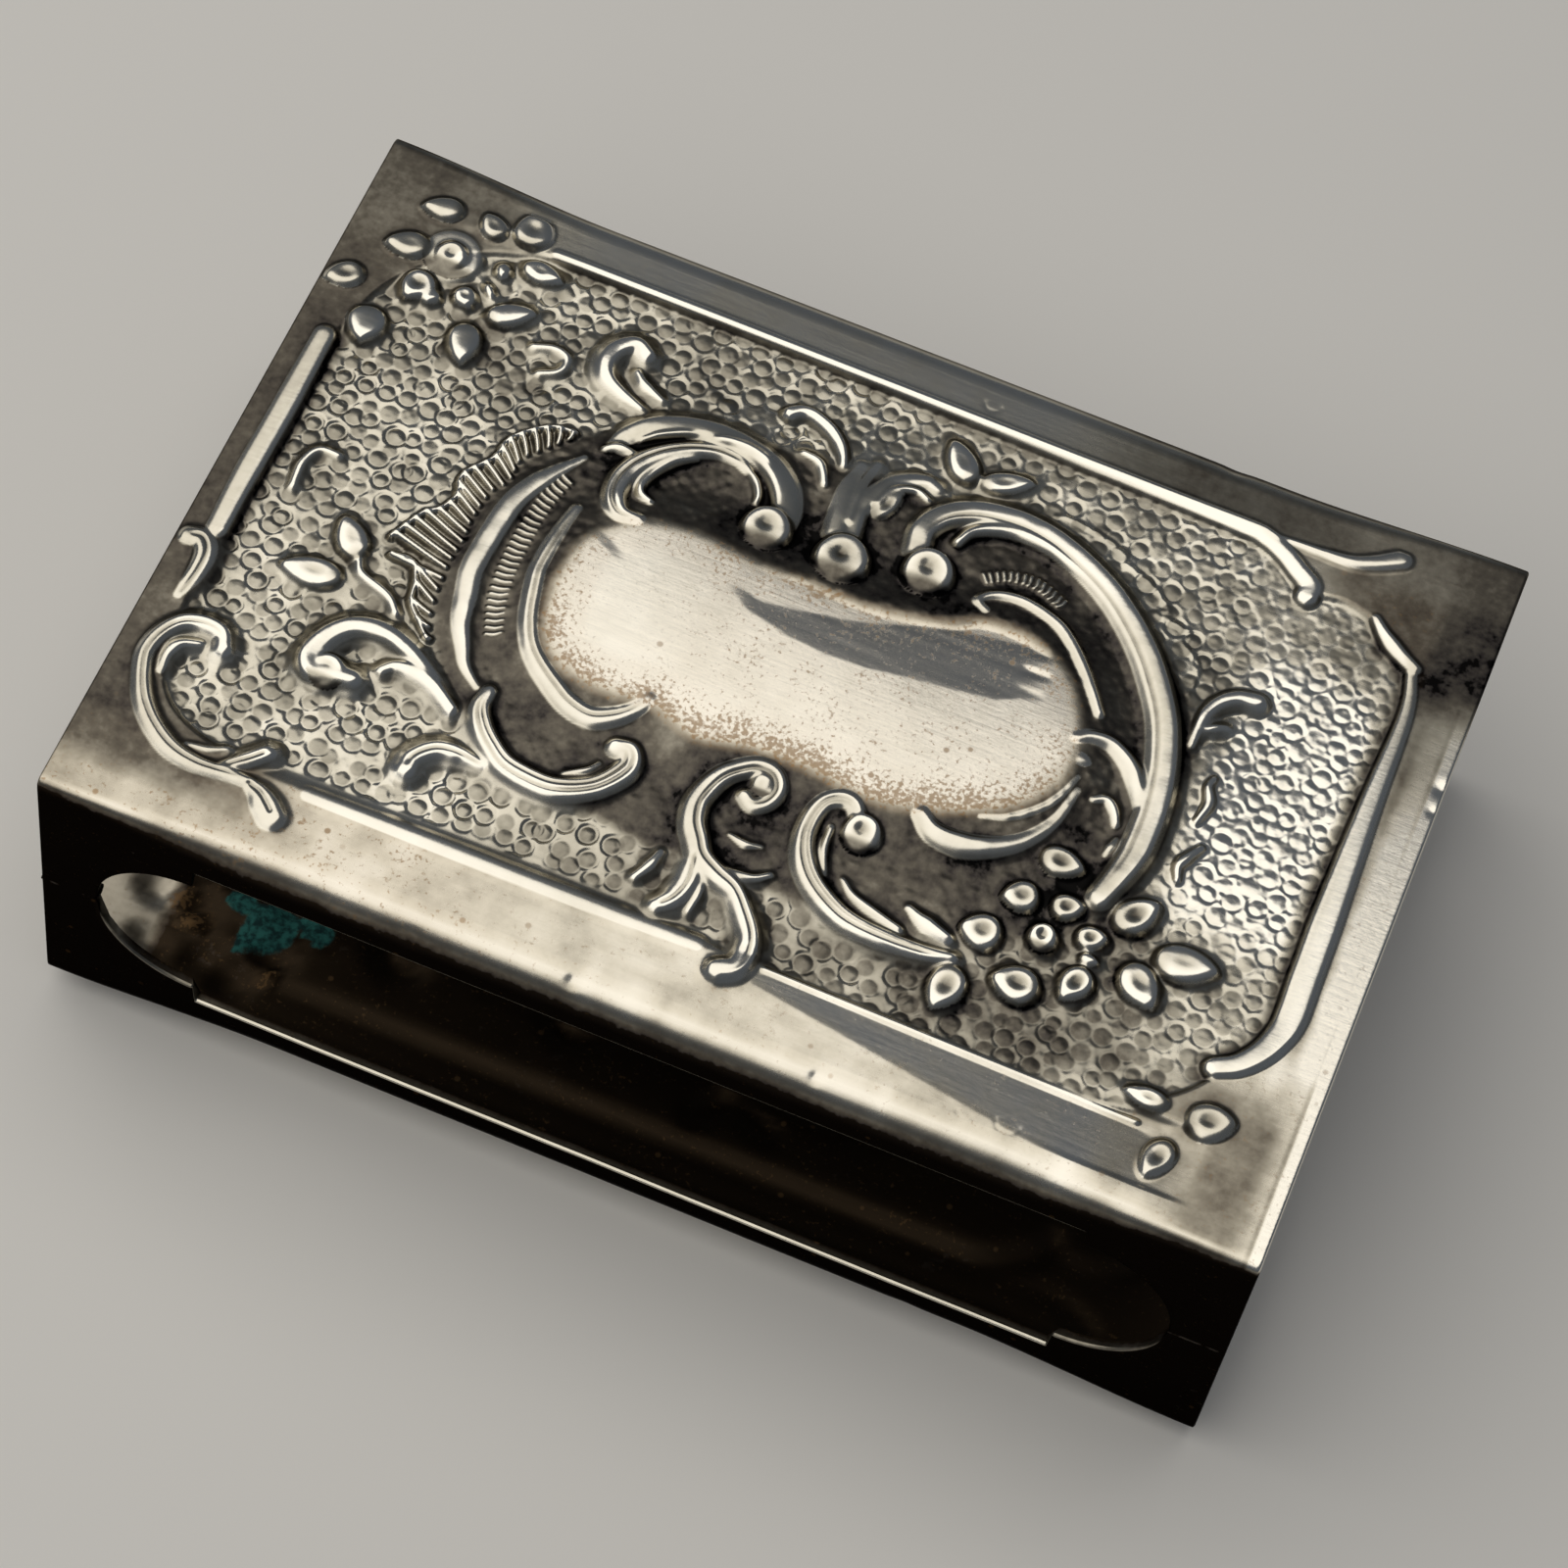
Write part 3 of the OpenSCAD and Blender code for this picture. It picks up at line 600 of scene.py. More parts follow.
def dimples(grid, pitch=1.03, seed=11):
    """Marks of a cupped punch: bubbles on a triangular lattice, each a little off, of its own size and depth.

    A mark falls from its middle as the square of the way to a sharp ring, and rises again just outside it.
    Where marks meet, the lower one holds. The second field is 1 within the marks."""
    shift_x, shift_y, size, depth = np.random.default_rng(seed).uniform(-1, 1, (4, LATTICE, LATTICE))
    row_step = pitch * 0.87
    first_x, first_y = -30, -20
    row = np.floor((grid.y - first_y) / row_step).astype(int)
    mark, inside = np.zeros(grid.x.shape), np.zeros(grid.x.shape)
    for down in (-1, 0, 1, 2):
        r = row + down
        offset = 0.5 * pitch * (r % 2)
        column = np.floor((grid.x - first_x - offset) / pitch).astype(int)
        for across in (-1, 0, 1, 2):
            c = column + across
            own = (r % LATTICE, c % LATTICE)
            dx = grid.x - (c * pitch + offset + first_x + 0.28 * shift_x[own])
            dy = grid.y - (r * row_step + first_y + 0.25 * shift_y[own])
            radius = 0.45 + 0.06 * size[own]
            away = np.hypot(dx, dy)
            fall = np.where(away < radius, (away / radius) ** 2, ramp(radius + 0.13, radius, away))
            mark = np.minimum(mark, -(0.062 + 0.045 * depth[own]) * fall)
            inside = np.maximum(inside, ramp(radius, radius - 0.1, away))
    return mark, inside


def struck_motifs(grid):
    """The motifs, the fine ribs, the faint lines, and the distance from the frame's ridges alone."""
    motifs, fine, faint = Panel(grid), Panel(grid), Panel(grid)
    for spec in RAILS:
        motifs.ridge(spec)
    by_rail = motifs.gap.copy()
    for spec in SCROLLS:
        motifs.ridge(spec)
    for centre, petals in PETALS:
        for spec in petals:
            motifs.petal(centre, *spec)
    for spec in BEADS:
        motifs.bead(*spec)
    for spec in RIBS:
        fine.ribs(*spec)
    for spec in FRINGE_EDGES:
        fine.ridge(spec)
    for spec in FAINT:
        faint.ridge(spec)
    return motifs, fine, faint, by_rail


def plaque_height(x, y):
    """The plaque: crowned as the squares of x and y, less a bend and a short streak at the left.

    The bend falls evenly behind its line as far as its reach, and drawn-out noise frays its edge."""
    crown = 1.0 - 0.03 * ((x + 0.4) / 12.0) ** 2 - 0.05 * (y / 5.0) ** 2
    frayed = grain(0.3 * x + 0.3 * y + 40, 2.6 * y + 40, 1.0, 51) - 0.5
    line = np.interp(x, *zip(*BEND_LINE))
    reach = np.interp(x, *zip(*BEND_REACH))
    bend = BEND_SLOPE * np.clip(y - line - 0.15 * frayed, 0.0, reach)
    bend = bend * ramp(-5.0, -3.2, x) * ramp(10.6, 9.0, x + 0.5 * frayed)
    streak = STREAK_SLOPE * np.clip(y - 1.9 + 0.5 * (x + 11.0), 0.0, 0.5)
    streak = streak * band(x, -12.2, -11.6, -10.6, -9.4)
    return crown - bend - streak


def struck_panel(grid):
    """Height of the worked panel over its margin, with masks that its finish needs.

    The ground is sunk inside the frame and swells under the scrolls. Motifs, plaque and marks sit on it."""
    x, y = grid.x, grid.y
    motifs, fine, faint, by_rail = struck_motifs(grid)
    gap = np.minimum(motifs.gap, fine.gap)
    within = grid.inside_of(seen(PLAQUE, PLAQUE_READ_AT))
    on_plaque = ramp(-0.6, 0.3, within)

    # ground: the sunk field, its punched and matted parts, the swell and the bank round the plaque
    field = grid.inside_of(seen(FIELD))
    gentle = ramp(-12.0, -14.0, y) * band(x, -22.0, -19.0, 0.0, 3.0)
    sunk = ramp(-0.2 - 0.3 * gentle, 0.15 + 0.35 * gentle, field)
    group = (np.abs((x - 0.4) / 17.6) ** 2.5 + np.abs((y + 0.1) / 11.2) ** 2.5) ** 0.4
    open_field = ramp(0.97, 1.04, group)
    punched = ramp(0.05 + 0.4 * gentle, 0.35 + 0.4 * gentle, field) * open_field * ramp(0.06, 0.24, gap)
    matted = sunk * (1 - on_plaque) * (1 - open_field)
    swell = SWELL * ramp(1.25, 0.75, np.hypot((x + 0.3) / 18.5, (y + 0.2) / 12.0))
    bank = BANK * ramp(-3.0, 0.3, within)
    marks, in_mark = dimples(grid)
    strength = 1.0 + 0.45 * ramp(2.0, -8.0, x) - 0.55 * ramp(15.0, 19.0, x) - 0.35 * ramp(8.0, 13.0, y)
    ground = swell + bank - SUNK * sunk
    ground += punched * (strength * marks + 0.03 * (grain(x, y, 0.26, 6) - 0.5))
    ground += 0.06 * (grain(x, y, 0.33, 5) - 0.5) * matted + np.maximum(faint.height, 0.0)

    # margin: dished along the front on the right, and sloped at the back
    dish = np.clip(y + 15.7 + 0.157 * (x - 2.5), 0.0, 3.4) * ramp(-14.3, -14.8, y)
    sag = DISH_SLOPE * dish * band(x, 2.0, 3.5, 22.5, 25.5)
    fall = BACK_SLOPE * np.clip(PANEL_HALF - y, 0.0, 2.0) * ramp(16.0, 16.4, y)
    fall = fall * band(x, -27.0, -17.0, 16.0, 23.0)
    ground -= sag * (1 - sunk)
    ground = plaque_height(x, y) * on_plaque + ground * (1 - on_plaque) + fall

    # motifs over the ground, with a soft joint, and both let down to the sheet at the panel's border
    hammered = 0.02 * (grain(x + 40, y + 40, 0.7, 8) - 0.5) * ramp(0.0, 0.4, by_rail)
    raised = np.maximum(grid.blur(motifs.height, 0.09) - motifs.cut + hammered, fine.height)
    raised = raised + LIFT_SHARE * (swell + bank) + fall - SAG_SHARE * sag
    joint = np.maximum(BLEND - np.abs(ground - raised), 0.0) ** 2 / (4 * BLEND)
    height = np.maximum(ground, raised) + joint
    border = ramp(PANEL_HALF, PANEL_HALF - 0.3, np.abs(y)) * ramp(LENGTH / 2, LENGTH / 2 - 0.4, np.abs(x))
    height = grid.blur((height - fall) * border + fall, 0.05)
    over = height - FLATTEN_FROM
    height = np.where(over > 0.0, FLATTEN_FROM + FLATTEN_BY * np.tanh(over / FLATTEN_BY), height)
    masks = {"gap": gap, "by_rail": by_rail, "within": within, "plaque": on_plaque, "sunk": sunk,
             "matted": matted, "mark": in_mark * punched, "dull": motifs.dull, "dish": ramp(0.0, 0.06, sag)}
    return height, masks


def shell_base(grid):
    """Each grid point's place on the plain folded sheet and the sheet's normal there, in y and z.

    The wall rises from the cut edge, the fold is flat, arc, flat in its square, and the panel has z = 0."""
    x = np.abs(grid.x_line)
    arch = np.sqrt(np.maximum(SLOT_END ** 2 - np.maximum(x - SLOT_STRAIGHT, 0.0) ** 2, 0.0))
    rise = np.maximum(np.where(x < SLOT_STRAIGHT, SLOT_RISE, arch), SEAM_RISE)
    foot = (MIDDLE + rise)[:, None]
    tall = -FOLD - foot
    even = np.linspace(0.0, 1.0, WALL_ROWS - 2)[None, 1:]
    wall_z = np.hstack([foot + EDGE_STEPS, foot + EDGE_STEPS[-1] + (tall - EDGE_STEPS[-1]) * even])
    wall_y = np.full(wall_z.shape, WIDTH / 2)

    taper = ramp(LENGTH / 2, LENGTH / 2 - FOLD_TAPER, x)
    radius = (FOLD_AT_ENDS + (FOLD - FOLD_AT_ENDS) * taper)[:, None]
    flat = FOLD - radius
    arc = radius * np.pi / 2
    run = (2 * flat + arc) * np.linspace(0.0, 1.0, FOLD_ROWS + 1)[None, 1:]
    turn = np.clip(run - flat, 0.0, arc) / radius
    fold_z = -FOLD + np.clip(run, 0.0, flat) + radius * np.sin(turn)
    fold_y = WIDTH / 2 - radius * (1 - np.cos(turn)) - np.clip(run - flat - arc, 0.0, flat)

    side_y, side_z = np.hstack([wall_y, fold_y]), np.hstack([wall_z, fold_z])
    tilt = np.hstack([np.zeros(wall_y.shape), turn])
    inner_y = np.broadcast_to(grid.y_line[1:-1], (grid.columns + 1, grid.panel_rows - 1))
    upright = np.full(inner_y.shape, np.pi / 2)
    place_y = np.hstack([-side_y, inner_y, side_y[:, ::-1]])
    place_z = np.hstack([side_z, np.zeros(inner_y.shape), side_z[:, ::-1]])
    normal_y = np.hstack([-np.cos(tilt), np.cos(upright), np.cos(tilt[:, ::-1])])
    normal_z = np.sin(np.hstack([tilt, upright, tilt[:, ::-1]]))
    return np.stack([place_y, place_z], -1), np.stack([normal_y, normal_z], -1)


def edge_drop(grid, place):
    """How far the outside sinks at a cut edge: a quarter circle over the way to the slot or the open end."""
    x = np.abs(grid.x_line)[:, None]
    z = place[..., 1] - MIDDLE
    on_wall = np.abs(place[..., 0]) > WIDTH / 2 - 1e-6
    box = np.maximum(x - SLOT_STRAIGHT, z - SLOT_RISE)
    ends = np.hypot(x - SLOT_STRAIGHT, z) - SLOT_END
    slot = np.where(on_wall, np.minimum(box, ends), FAR)
    away = np.clip(np.minimum(slot, LENGTH / 2 - x), 0.0, EDGE_ROUND)
    return EDGE_ROUND - np.sqrt(EDGE_ROUND ** 2 - (EDGE_ROUND - away) ** 2)


# Knocks the cover has taken: x, y, z from the face, radius, depth
DENTS = [
    (-3.5, -18.9, -0.2, 0.35, 0.1), (8, -18.8, -0.2, 0.3, 0.08), (28.8, 6.5, 0, 0.35, 0.05),
    (28.8, 5.2, 0, 0.25, 0.03), (-11, -19.5, -1, 0.5, 0.06), (14.5, 19.2, -0.6, 0.6, 0.08),
]
# Ring-shaped marks on the margins: x, y, radius
RING_MARKS = [(2.7, 17.5, 0.42), (16.5, -17.6, 0.55), (14.6, -17.9, 0.35)]
RING_DEPTH = 0.012
RING_WIDTH = 0.12
# Slow waves of the plain silver: height, length, seed
WAVES = [(0.05, 7.0, 21), (0.01, 2.2, 22)]


def outside_wear(grid, place):
    """Small unevenness of the plain silver: slow waves, knocks and ring marks."""
    x = grid.x_line[:, None]
    y, z = place[..., 0], place[..., 1]
    along = y - np.sign(y) * z
    calm = ramp(LENGTH / 2 - 1.0, LENGTH / 2 - 5.0, np.abs(x)) * ramp(-8.0, -5.0, z)
    wear = np.zeros(z.shape)
    for tall, length, seed in WAVES:
        wear = wear + tall * (grain(x + 50, along + 60, length, seed) - 0.5) * calm
    for dx, dy, dz, radius, depth in DENTS:
        wear = wear - depth * bell(np.sqrt((x - dx) ** 2 + (y - dy) ** 2 + (z - dz) ** 2), radius)
    for mx, my, radius in RING_MARKS:
        away = np.where(z > -0.1, np.hypot(x - mx, y - my), FAR)
        wear = wear - RING_DEPTH * bell(away - radius, RING_WIDTH) * ramp(0.4, -0.2, (y - my) / radius)
    return wear


# Tarnish of the sunk ground, zone by zone: 0 is clean silver and 1 is black
FIELD_TONES = {
    "everywhere": 0.34, "crevice": 0.36, "right": -0.42, "lower": 0.14, "matted": 0.58, "flowers": 0.2,
    "front_left": -0.1, "mottle": 0.3, "marks": 0.2, "right_marks": -0.16}
# Tarnish of the margin, zone by zone
MARGIN_TONES = {
    "everywhere": 0.36, "back": -0.14, "corners": 1.0, "left": 0.06, "front": -0.08, "gilt": 0.07,
    # the valley zone is painted shade beside the right rail; the rim zone is a painted highlight on the right
    # end's edge
    "front_left": 0.44, "front_right": 0.25, "right_back": 0.12, "right_middle": -0.36, "valley_shade": 0.32,
    "outer": -0.18, "rim": -0.4, "dish": -0.2, "mottle": 0.3, "back_mottle": -0.14, "left_mottle": -0.16}
# Tarnish at both ends of the back margin, and at the right corner
BACK_TONES = {"back_left": 0.08, "back_right": 0.56}
RIGHT_CORNER_TONE = 0.5
# Tarnish added by the relief, with painted shade on steep flanks and on the beads' fronts, and that of the
# plaque
RELIEF_TONES = {"deep": 0.2, "steep_shade": 0.4, "proud": -0.24, "patch": 0.2, "dull": 0.55}
PLAQUE_TONES = {"everywhere": 0.07, "patch": 0.08, "mottle": 0.1}
# Share of the tarnish that is rubbed off the motifs
MOTIF_POLISH = 0.72
# Share of the tarnish taken off where the folds turn: partly wear, partly a painted highlight
FOLD_WEAR_AND_HIGHLIGHT = 0.7
# Tarnish taken off along the slots' edges, and round the ends of the lower shell's slots
SLOT_EDGE_WEAR = 0.9
LOWER_END_WEAR = 0.5
# Finish of the walls and of the sheet's inside: tarnish with painted shade; the inside is brighter near the
# left end
WALL_TARNISH_AND_SHADE = 1.15
WALL_STAIN = 0.02
INSIDE_TARNISH_AND_SHADE = 1.1
# painted light: the inside is brighter near the open left end, as if lit through it
INSIDE_END_LIGHT = 0.75
INSIDE_STAIN = 0.1
LUMP_STAIN = 0.8


def toned(tones, zones):
    """Sum of the tones, each times the zone of its name."""
    return sum(tone * zones[name] for name, tone in tones.items())


def field_tarnish(x, y, masks, mottle):
    """Tarnish of the sunk ground."""
    right = band(x, 17.5, 20.0, 24.3, 25.3) * band(y, -7.0, -3.0, 8.0, 12.0)
    by_ends = ramp(21.0, 24.0, x) + ramp(-25.0, -26.5, x)
    zones = {
        "everywhere": 1.0,
        "crevice": ramp(0.8, 0.0, masks["by_rail"]) * by_ends,
        "right": right,
        "lower": ramp(-11.0, -12.5, y) * ramp(-14.0, -8.0, x),
        "matted": masks["matted"],
        "flowers": near(x, y, (14.0, -9.5), (6.5, 5.0)) * (1 - masks["matted"]),
        "front_left": near(x, y, (-14.0, -12.5), (7.0, 3.0)),
        "mottle": mottle,
        "marks": masks["mark"],
        "right_marks": right * masks["mark"],
    }
    return toned(FIELD_TONES, zones)


def margin_tarnish(x, y, masks, mottle):
    """Tarnish of the margin, with those of its zones that the stain follows too."""
    back, front = ramp(15.0, 16.8, y), ramp(-14.5, -15.5, y)
    left, right = ramp(-26.0, -27.5, x), ramp(25.5, 26.5, x)
    at_back = {
        "back_left": ramp(-18.0, -22.0, x) * back,
        "back_right": band(x, 4.0, 14.0, 20.0, 26.0) * back,
    }
    right_corner = RIGHT_CORNER_TONE * near(x, y, (26.5, 16.5), (6.0, 6.0))
    outer = ramp(27.0, 28.3, x) * ramp(11.0, 5.0, y)
    zones = {
        "everywhere": 1.0,
        "back": back,
        "corners": np.maximum(toned(BACK_TONES, at_back), right_corner),
        "left": left * (1 - front),
        "front": front,
        "gilt": front * ramp(-4.0, -14.0, x),
        "front_left": ramp(-17.0, -24.5, x) * ramp(-18.8, -16.6, y),
        "front_right": near(x, y, (25.0, -16.0), (5.0, 4.0)) * (1 - 0.6 * outer),
        "right_back": right * ramp(4.0, 11.0, y),
        "right_middle": right * band(y, -13.0, -9.0, 1.0, 6.0),
        # painted shade: a dark band in the valley beside the right rail
        "valley_shade": bell(x - 26.95, 0.3) * band(y, -10.5, -8.5, 5.0, 11.0),
        "outer": outer,
        # painted highlight: a bright line on the right end's edge, a darker line just inside it, strongest at
        # the front
        "rim": (ramp(28.3, 28.45, x) - 0.5 * bell(x - 28.25, 0.12)) * ramp(12.0, 6.0, y),
        "dish": masks["dish"],
        "mottle": mottle,
        "back_mottle": back * mottle,
        "left_mottle": left * mottle,
    }
    return toned(MARGIN_TONES, zones), zones, right


def panel_stain(x, y, masks, motif, zones, right):
    """Brown specks: a few on the margin, more at its gilt front, and many along the plaque's edge."""
    margin = (1 - masks["sunk"]) * (1 - motif) * (1 - 0.8 * zones["front_left"]) * (1 - 0.8 * zones["back"])
    margin = margin * (1 - ramp(4.0, 9.0, y) * right)
    low_side = 0.42 + 0.58 * ramp(2.0, -3.5, y)
    plaque = 0.05 + 0.1 * ramp(-9.0, -4.0, x) + 0.7 * ramp(2.2, 0.0, masks["within"]) * low_side
    return (0.08 + 0.1 * zones["gilt"]) * margin + plaque * masks["plaque"]


def finish_masks(grid, height, masks, normal, rim_wear):
    """Tarnish, painted light and stain over the outside: dark in the hollows, worn bright on what stands
    proud.
    """
    x, y = grid.x, grid.y
    patch = grain(x + 40, y + 40, 5.0, 31) - 0.5
    mottle = 0.55 * grain(x + 40, y + 40, 1.7, 32) + 0.45 * grain(x + 40, y + 40, 0.7, 33) - 0.5
    hollow = grid.blur(height, 0.34) - height
    slope_x, slope_y = (slope / grid.cell for slope in np.gradient(height))
    # painted shade: flanks facing the front and the right, and every steep flank in the sunk field, are
    # darkened
    steep_shade = ramp(0.7, 1.5, slope_y) + 0.5 * ramp(0.8, 1.6, -slope_x)
    steep_shade = np.maximum(steep_shade, 0.7 * ramp(0.65, 1.2, np.hypot(slope_x, slope_y)) * masks["sunk"])
    relief = {"deep": ramp(0.0, 0.16, hollow), "steep_shade": steep_shade, "patch": patch, "dull": masks["dull"],
              "proud": ramp(0.02, 0.16, -hollow) * masks["sunk"]}

    motif = ramp(0.02, -0.06, masks["gap"])
    edge, zones, right = margin_tarnish(x, y, masks, mottle)
    tarnish = field_tarnish(x, y, masks, mottle) * masks["sunk"] + edge * (1 - masks["sunk"])
    tarnish = tarnish * (1 - MOTIF_POLISH * motif) + toned(RELIEF_TONES, relief)
    clean = masks["plaque"] * ramp(-0.3, 0.7, masks["within"] + 0.9 * mottle)
    on_plaque = toned(PLAQUE_TONES, {"everywhere": 1.0, "patch": patch, "mottle": mottle})
    tarnish = tarnish * (1 - clean) + on_plaque * clean
    stain = panel_stain(x, y, masks, motif, zones, right)

    # over the folds the margin's finish goes on, with wear and a painted highlight where they turn, and gives
    # way to the walls' tarnish and painted shade; painted shade darkens the fold at the back sooner
    back_shade = 0.3 * (normal[..., 0] > 0)
    top = ramp(0.1 + back_shade, 0.85 + 0.4 * back_shade, normal[..., 1])
    # painted highlight, with wear: a clean band where the normal leans about 25 degrees from upright
    worn = bell(normal[..., 1] - 0.9, 0.07)

    def whole(panel, border):
        """A panel's values with those at its border carried on over the folds and walls."""
        front, back = (np.repeat(border[:, k:k + 1], SIDE_ROWS, 1) for k in (0, grid.panel_rows))
        return np.hstack([front, panel, back])

    outside = whole(tarnish, edge + RELIEF_TONES["patch"] * patch) * (1 - FOLD_WEAR_AND_HIGHLIGHT * worn)
    # the walls take a near-black tone: tarnish and painted shade for the dark that they mirror
    whole_tarnish = WALL_TARNISH_AND_SHADE * (1 - top) + outside * top
    whole_stain = WALL_STAIN * (1 - top) + whole(stain, stain) * top
    along = np.abs(grid.x_line)[:, None]
    straight = ramp(SLOT_STRAIGHT, SLOT_STRAIGHT - 0.2, along)
    round_end = ramp(SLOT_STRAIGHT + SLOT_END, SLOT_STRAIGHT + SLOT_END - 0.3, along)
    for rows in (slice(0, 3), slice(grid.rows - 2, grid.rows + 1)):
        whole_tarnish[:, rows] -= SLOT_EDGE_WEAR * straight + rim_wear * round_end * (1 - straight)
    return np.maximum(whole_tarnish, 0), np.clip(whole_stain, 0, 1)


def unit(vectors):
    """Vectors brought to length 1."""
    return vectors / np.maximum(np.linalg.norm(vectors, axis=-1, keepdims=True), TINY)


def grid_normals(points):
    """Unit normals of a grid of points: the cross product of its steps along columns and along rows."""
    return unit(np.cross(np.gradient(points, axis=0), np.gradient(points, axis=1)))


def strip_faces(columns, rows):
    """Corner numbers of one strip's faces: the outside's quads, the inside's, and the band that joins them.

    The band runs round both rims. Several outside steps match one inside step, so it is made of triangles."""
    outside = np.arange((columns + 1) * (rows + 1)).reshape(columns + 1, rows + 1)
    few = (columns // COARSE + 1, rows // COARSE + 1)
    inside = outside.size + np.arange(few[0] * few[1]).reshape(few)

    def quads(n):
        """Four corners of each cell of a grid."""
        return np.stack([n[:-1, :-1], n[1:, :-1], n[1:, 1:], n[:-1, 1:]], -1).reshape(-1, 4)

    def rim(n):
        """Points round a grid's border, in order."""
        return np.concatenate([n[:-1, 0], n[-1, :-1], n[:0:-1, -1], n[0, :0:-1]])

    fine, coarse = rim(outside), rim(inside)
    k, m = np.arange(len(fine)), np.arange(len(coarse))
    thin = np.stack([np.roll(fine, -1), fine, coarse[((k + COARSE // 2) // COARSE) % len(coarse)]], -1)
    wide = np.stack([fine[COARSE * m + COARSE // 2], coarse, np.roll(coarse, -1)], -1)
    return quads(outside), quads(inside)[:, ::-1], np.vstack([thin, wide]), k, m


# Unwrapping of a strip: stretches of v for the outside, the inside, and the band that joins them
OUTSIDE_V = (0.01, 0.71)
INSIDE_V = (0.74, 0.94)
BAND_V = (0.96, 0.985)
U_RANGE = (0.005, 0.995)


def strip_unwrapping(outside, inside, sheet_corners, k, m):
    """Each corner's place on the strip's UV map: rows along u, columns along v, and the band above them."""
    near_v, far_v = BAND_V
    thin_u = np.stack([k + 1, k, k + 0.5], -1).ravel()
    wide_u = np.stack([COARSE * m + COARSE // 2, COARSE * m, COARSE * m + COARSE], -1).ravel()
    band_u = np.concatenate([thin_u, wide_u]) / len(k)
    thin_v, wide_v = np.tile([near_v, near_v, far_v], len(k)), np.tile([near_v, far_v, far_v], len(m))
    band_v = np.concatenate([thin_v, wide_v])
    row = np.linspace(*U_RANGE, outside.shape[1])
    u, v = [], []
    for points, rows, stretch in ((outside, row, OUTSIDE_V), (inside, row[::COARSE], INSIDE_V)):
        shape = points.shape[:2]
        u.append(np.broadcast_to(rows, shape).ravel())
        v.append(np.broadcast_to(np.linspace(*stretch, shape[0])[:, None], shape).ravel())
    u, v = np.concatenate(u)[sheet_corners], np.concatenate(v)[sheet_corners]
    return np.stack([np.concatenate([u, band_u]), np.concatenate([v, band_v])], -1)


def strip_mesh(name, outside, inside, outside_normals, inside_normals, attributes):
    """Mesh of one strip of a shell: a closed solid with its own normals, unwrapping and finish masks."""
    outer, inner, band_faces, k, m = strip_faces(outside.shape[0] - 1, outside.shape[1] - 1)
    points = np.vstack([outside.reshape(-1, 3), inside.reshape(-1, 3)])
    sheet_corners = np.concatenate([outer.ravel(), inner.ravel()])
    corners = np.concatenate([sheet_corners, band_faces.ravel()])
    sizes = np.concatenate([np.full(len(outer) + len(inner), 4), np.full(len(band_faces), 3)])
    starts = np.concatenate([[0], np.cumsum(sizes)[:-1]])

    mesh = bpy.data.meshes.new(name)
    mesh.vertices.add(len(points))
    mesh.vertices.foreach_set("co", (points * MM).astype(np.float32).ravel())
    mesh.loops.add(len(corners))
    mesh.loops.foreach_set("vertex_index", corners.astype(np.int32))
    mesh.polygons.add(len(sizes))
    mesh.polygons.foreach_set("loop_start", starts.astype(np.int32))
    mesh.update(calc_edges=True)

    unwrapping = strip_unwrapping(outside, inside, sheet_corners, k, m)
    mesh.uv_layers.new(name="OFBake").data.foreach_set("uv", unwrapping.astype(np.float32).ravel())
    for label, (fine, coarse) in attributes.items():
        values = np.concatenate([fine.ravel(), coarse.ravel()]).astype(np.float32)
        mesh.attributes.new(label, "FLOAT", "POINT").data.foreach_set("value", values)

    mesh.polygons.foreach_set("use_smooth", np.ones(len(sizes), bool))
    own = np.vstack([outside_normals.reshape(-1, 3), inside_normals.reshape(-1, 3)])
    a, b, c = points[band_faces].transpose(1, 0, 2)
    loop_normals = np.vstack([own[sheet_corners], np.repeat(unit(np.cross(b - a, c - a)), 3, axis=0)])
    mesh.normals_split_custom_set(loop_normals.astype(np.float32))
    return mesh


# Crust of verdigris inside the lower shell, and brown lumps beside it: x, y, radius, height
CRUST = [(-20, 13.9, 2.3, 0.35), (-18.1, 13.2, 1.3, 0.25), (-21.7, 13.2, 1.2, 0.25)]
LUMPS = [(-23.7, 15, 0.8, 0.6), (-24.6, 14, 0.6, 0.4), (-19.2, 16.2, 0.5, 0.5)]


def lifted(x, place, normal, lift):
    """Points of a sheet: its plain places moved along their normals by the lift."""
    y, z = (place[..., k] + normal[..., k] * lift for k in (0, 1))
    return np.dstack([np.broadcast_to(x, y.shape), y, z])


def inside_sheet(grid, place, normal, height, soiled):
    """The sheet's inside on a coarser grid: the outside moved in by its thickness, with the relief blunted.

    A soiled shell also carries a crust and lumps: domes roughened by noise."""
    lift = np.zeros(place.shape[:2])
    lift[:, SIDE_ROWS:grid.rows - SIDE_ROWS + 1] = grid.blur(height, 0.25)
    lift = lift[::COARSE, ::COARSE] - SHEET
    x, spot, out = grid.x_line[::COARSE, None], place[::COARSE, ::COARSE], normal[::COARSE, ::COARSE]
    y = spot[..., 0]
    verdigris, brown = np.zeros(lift.shape), np.zeros(lift.shape)
    if soiled:
        floor = out[..., 1] > 0.99
        for group, mask in ((CRUST, verdigris), (LUMPS, brown)):
            for cx, cy, radius, tall in group:
                away = np.hypot(x - cx, y - cy) / radius * (0.6 + 0.8 * grain(x + 50, y + 50, 0.9, 41))
                dome = ramp(1.0, 0.4, away) * floor
                mask[:] = np.maximum(mask, dome)
                lift = lift - tall * dome * (0.35 + 0.65 * grain(x + 50, y + 50, 0.5, 42))
    return lifted(x, spot, out, lift), verdigris, brown


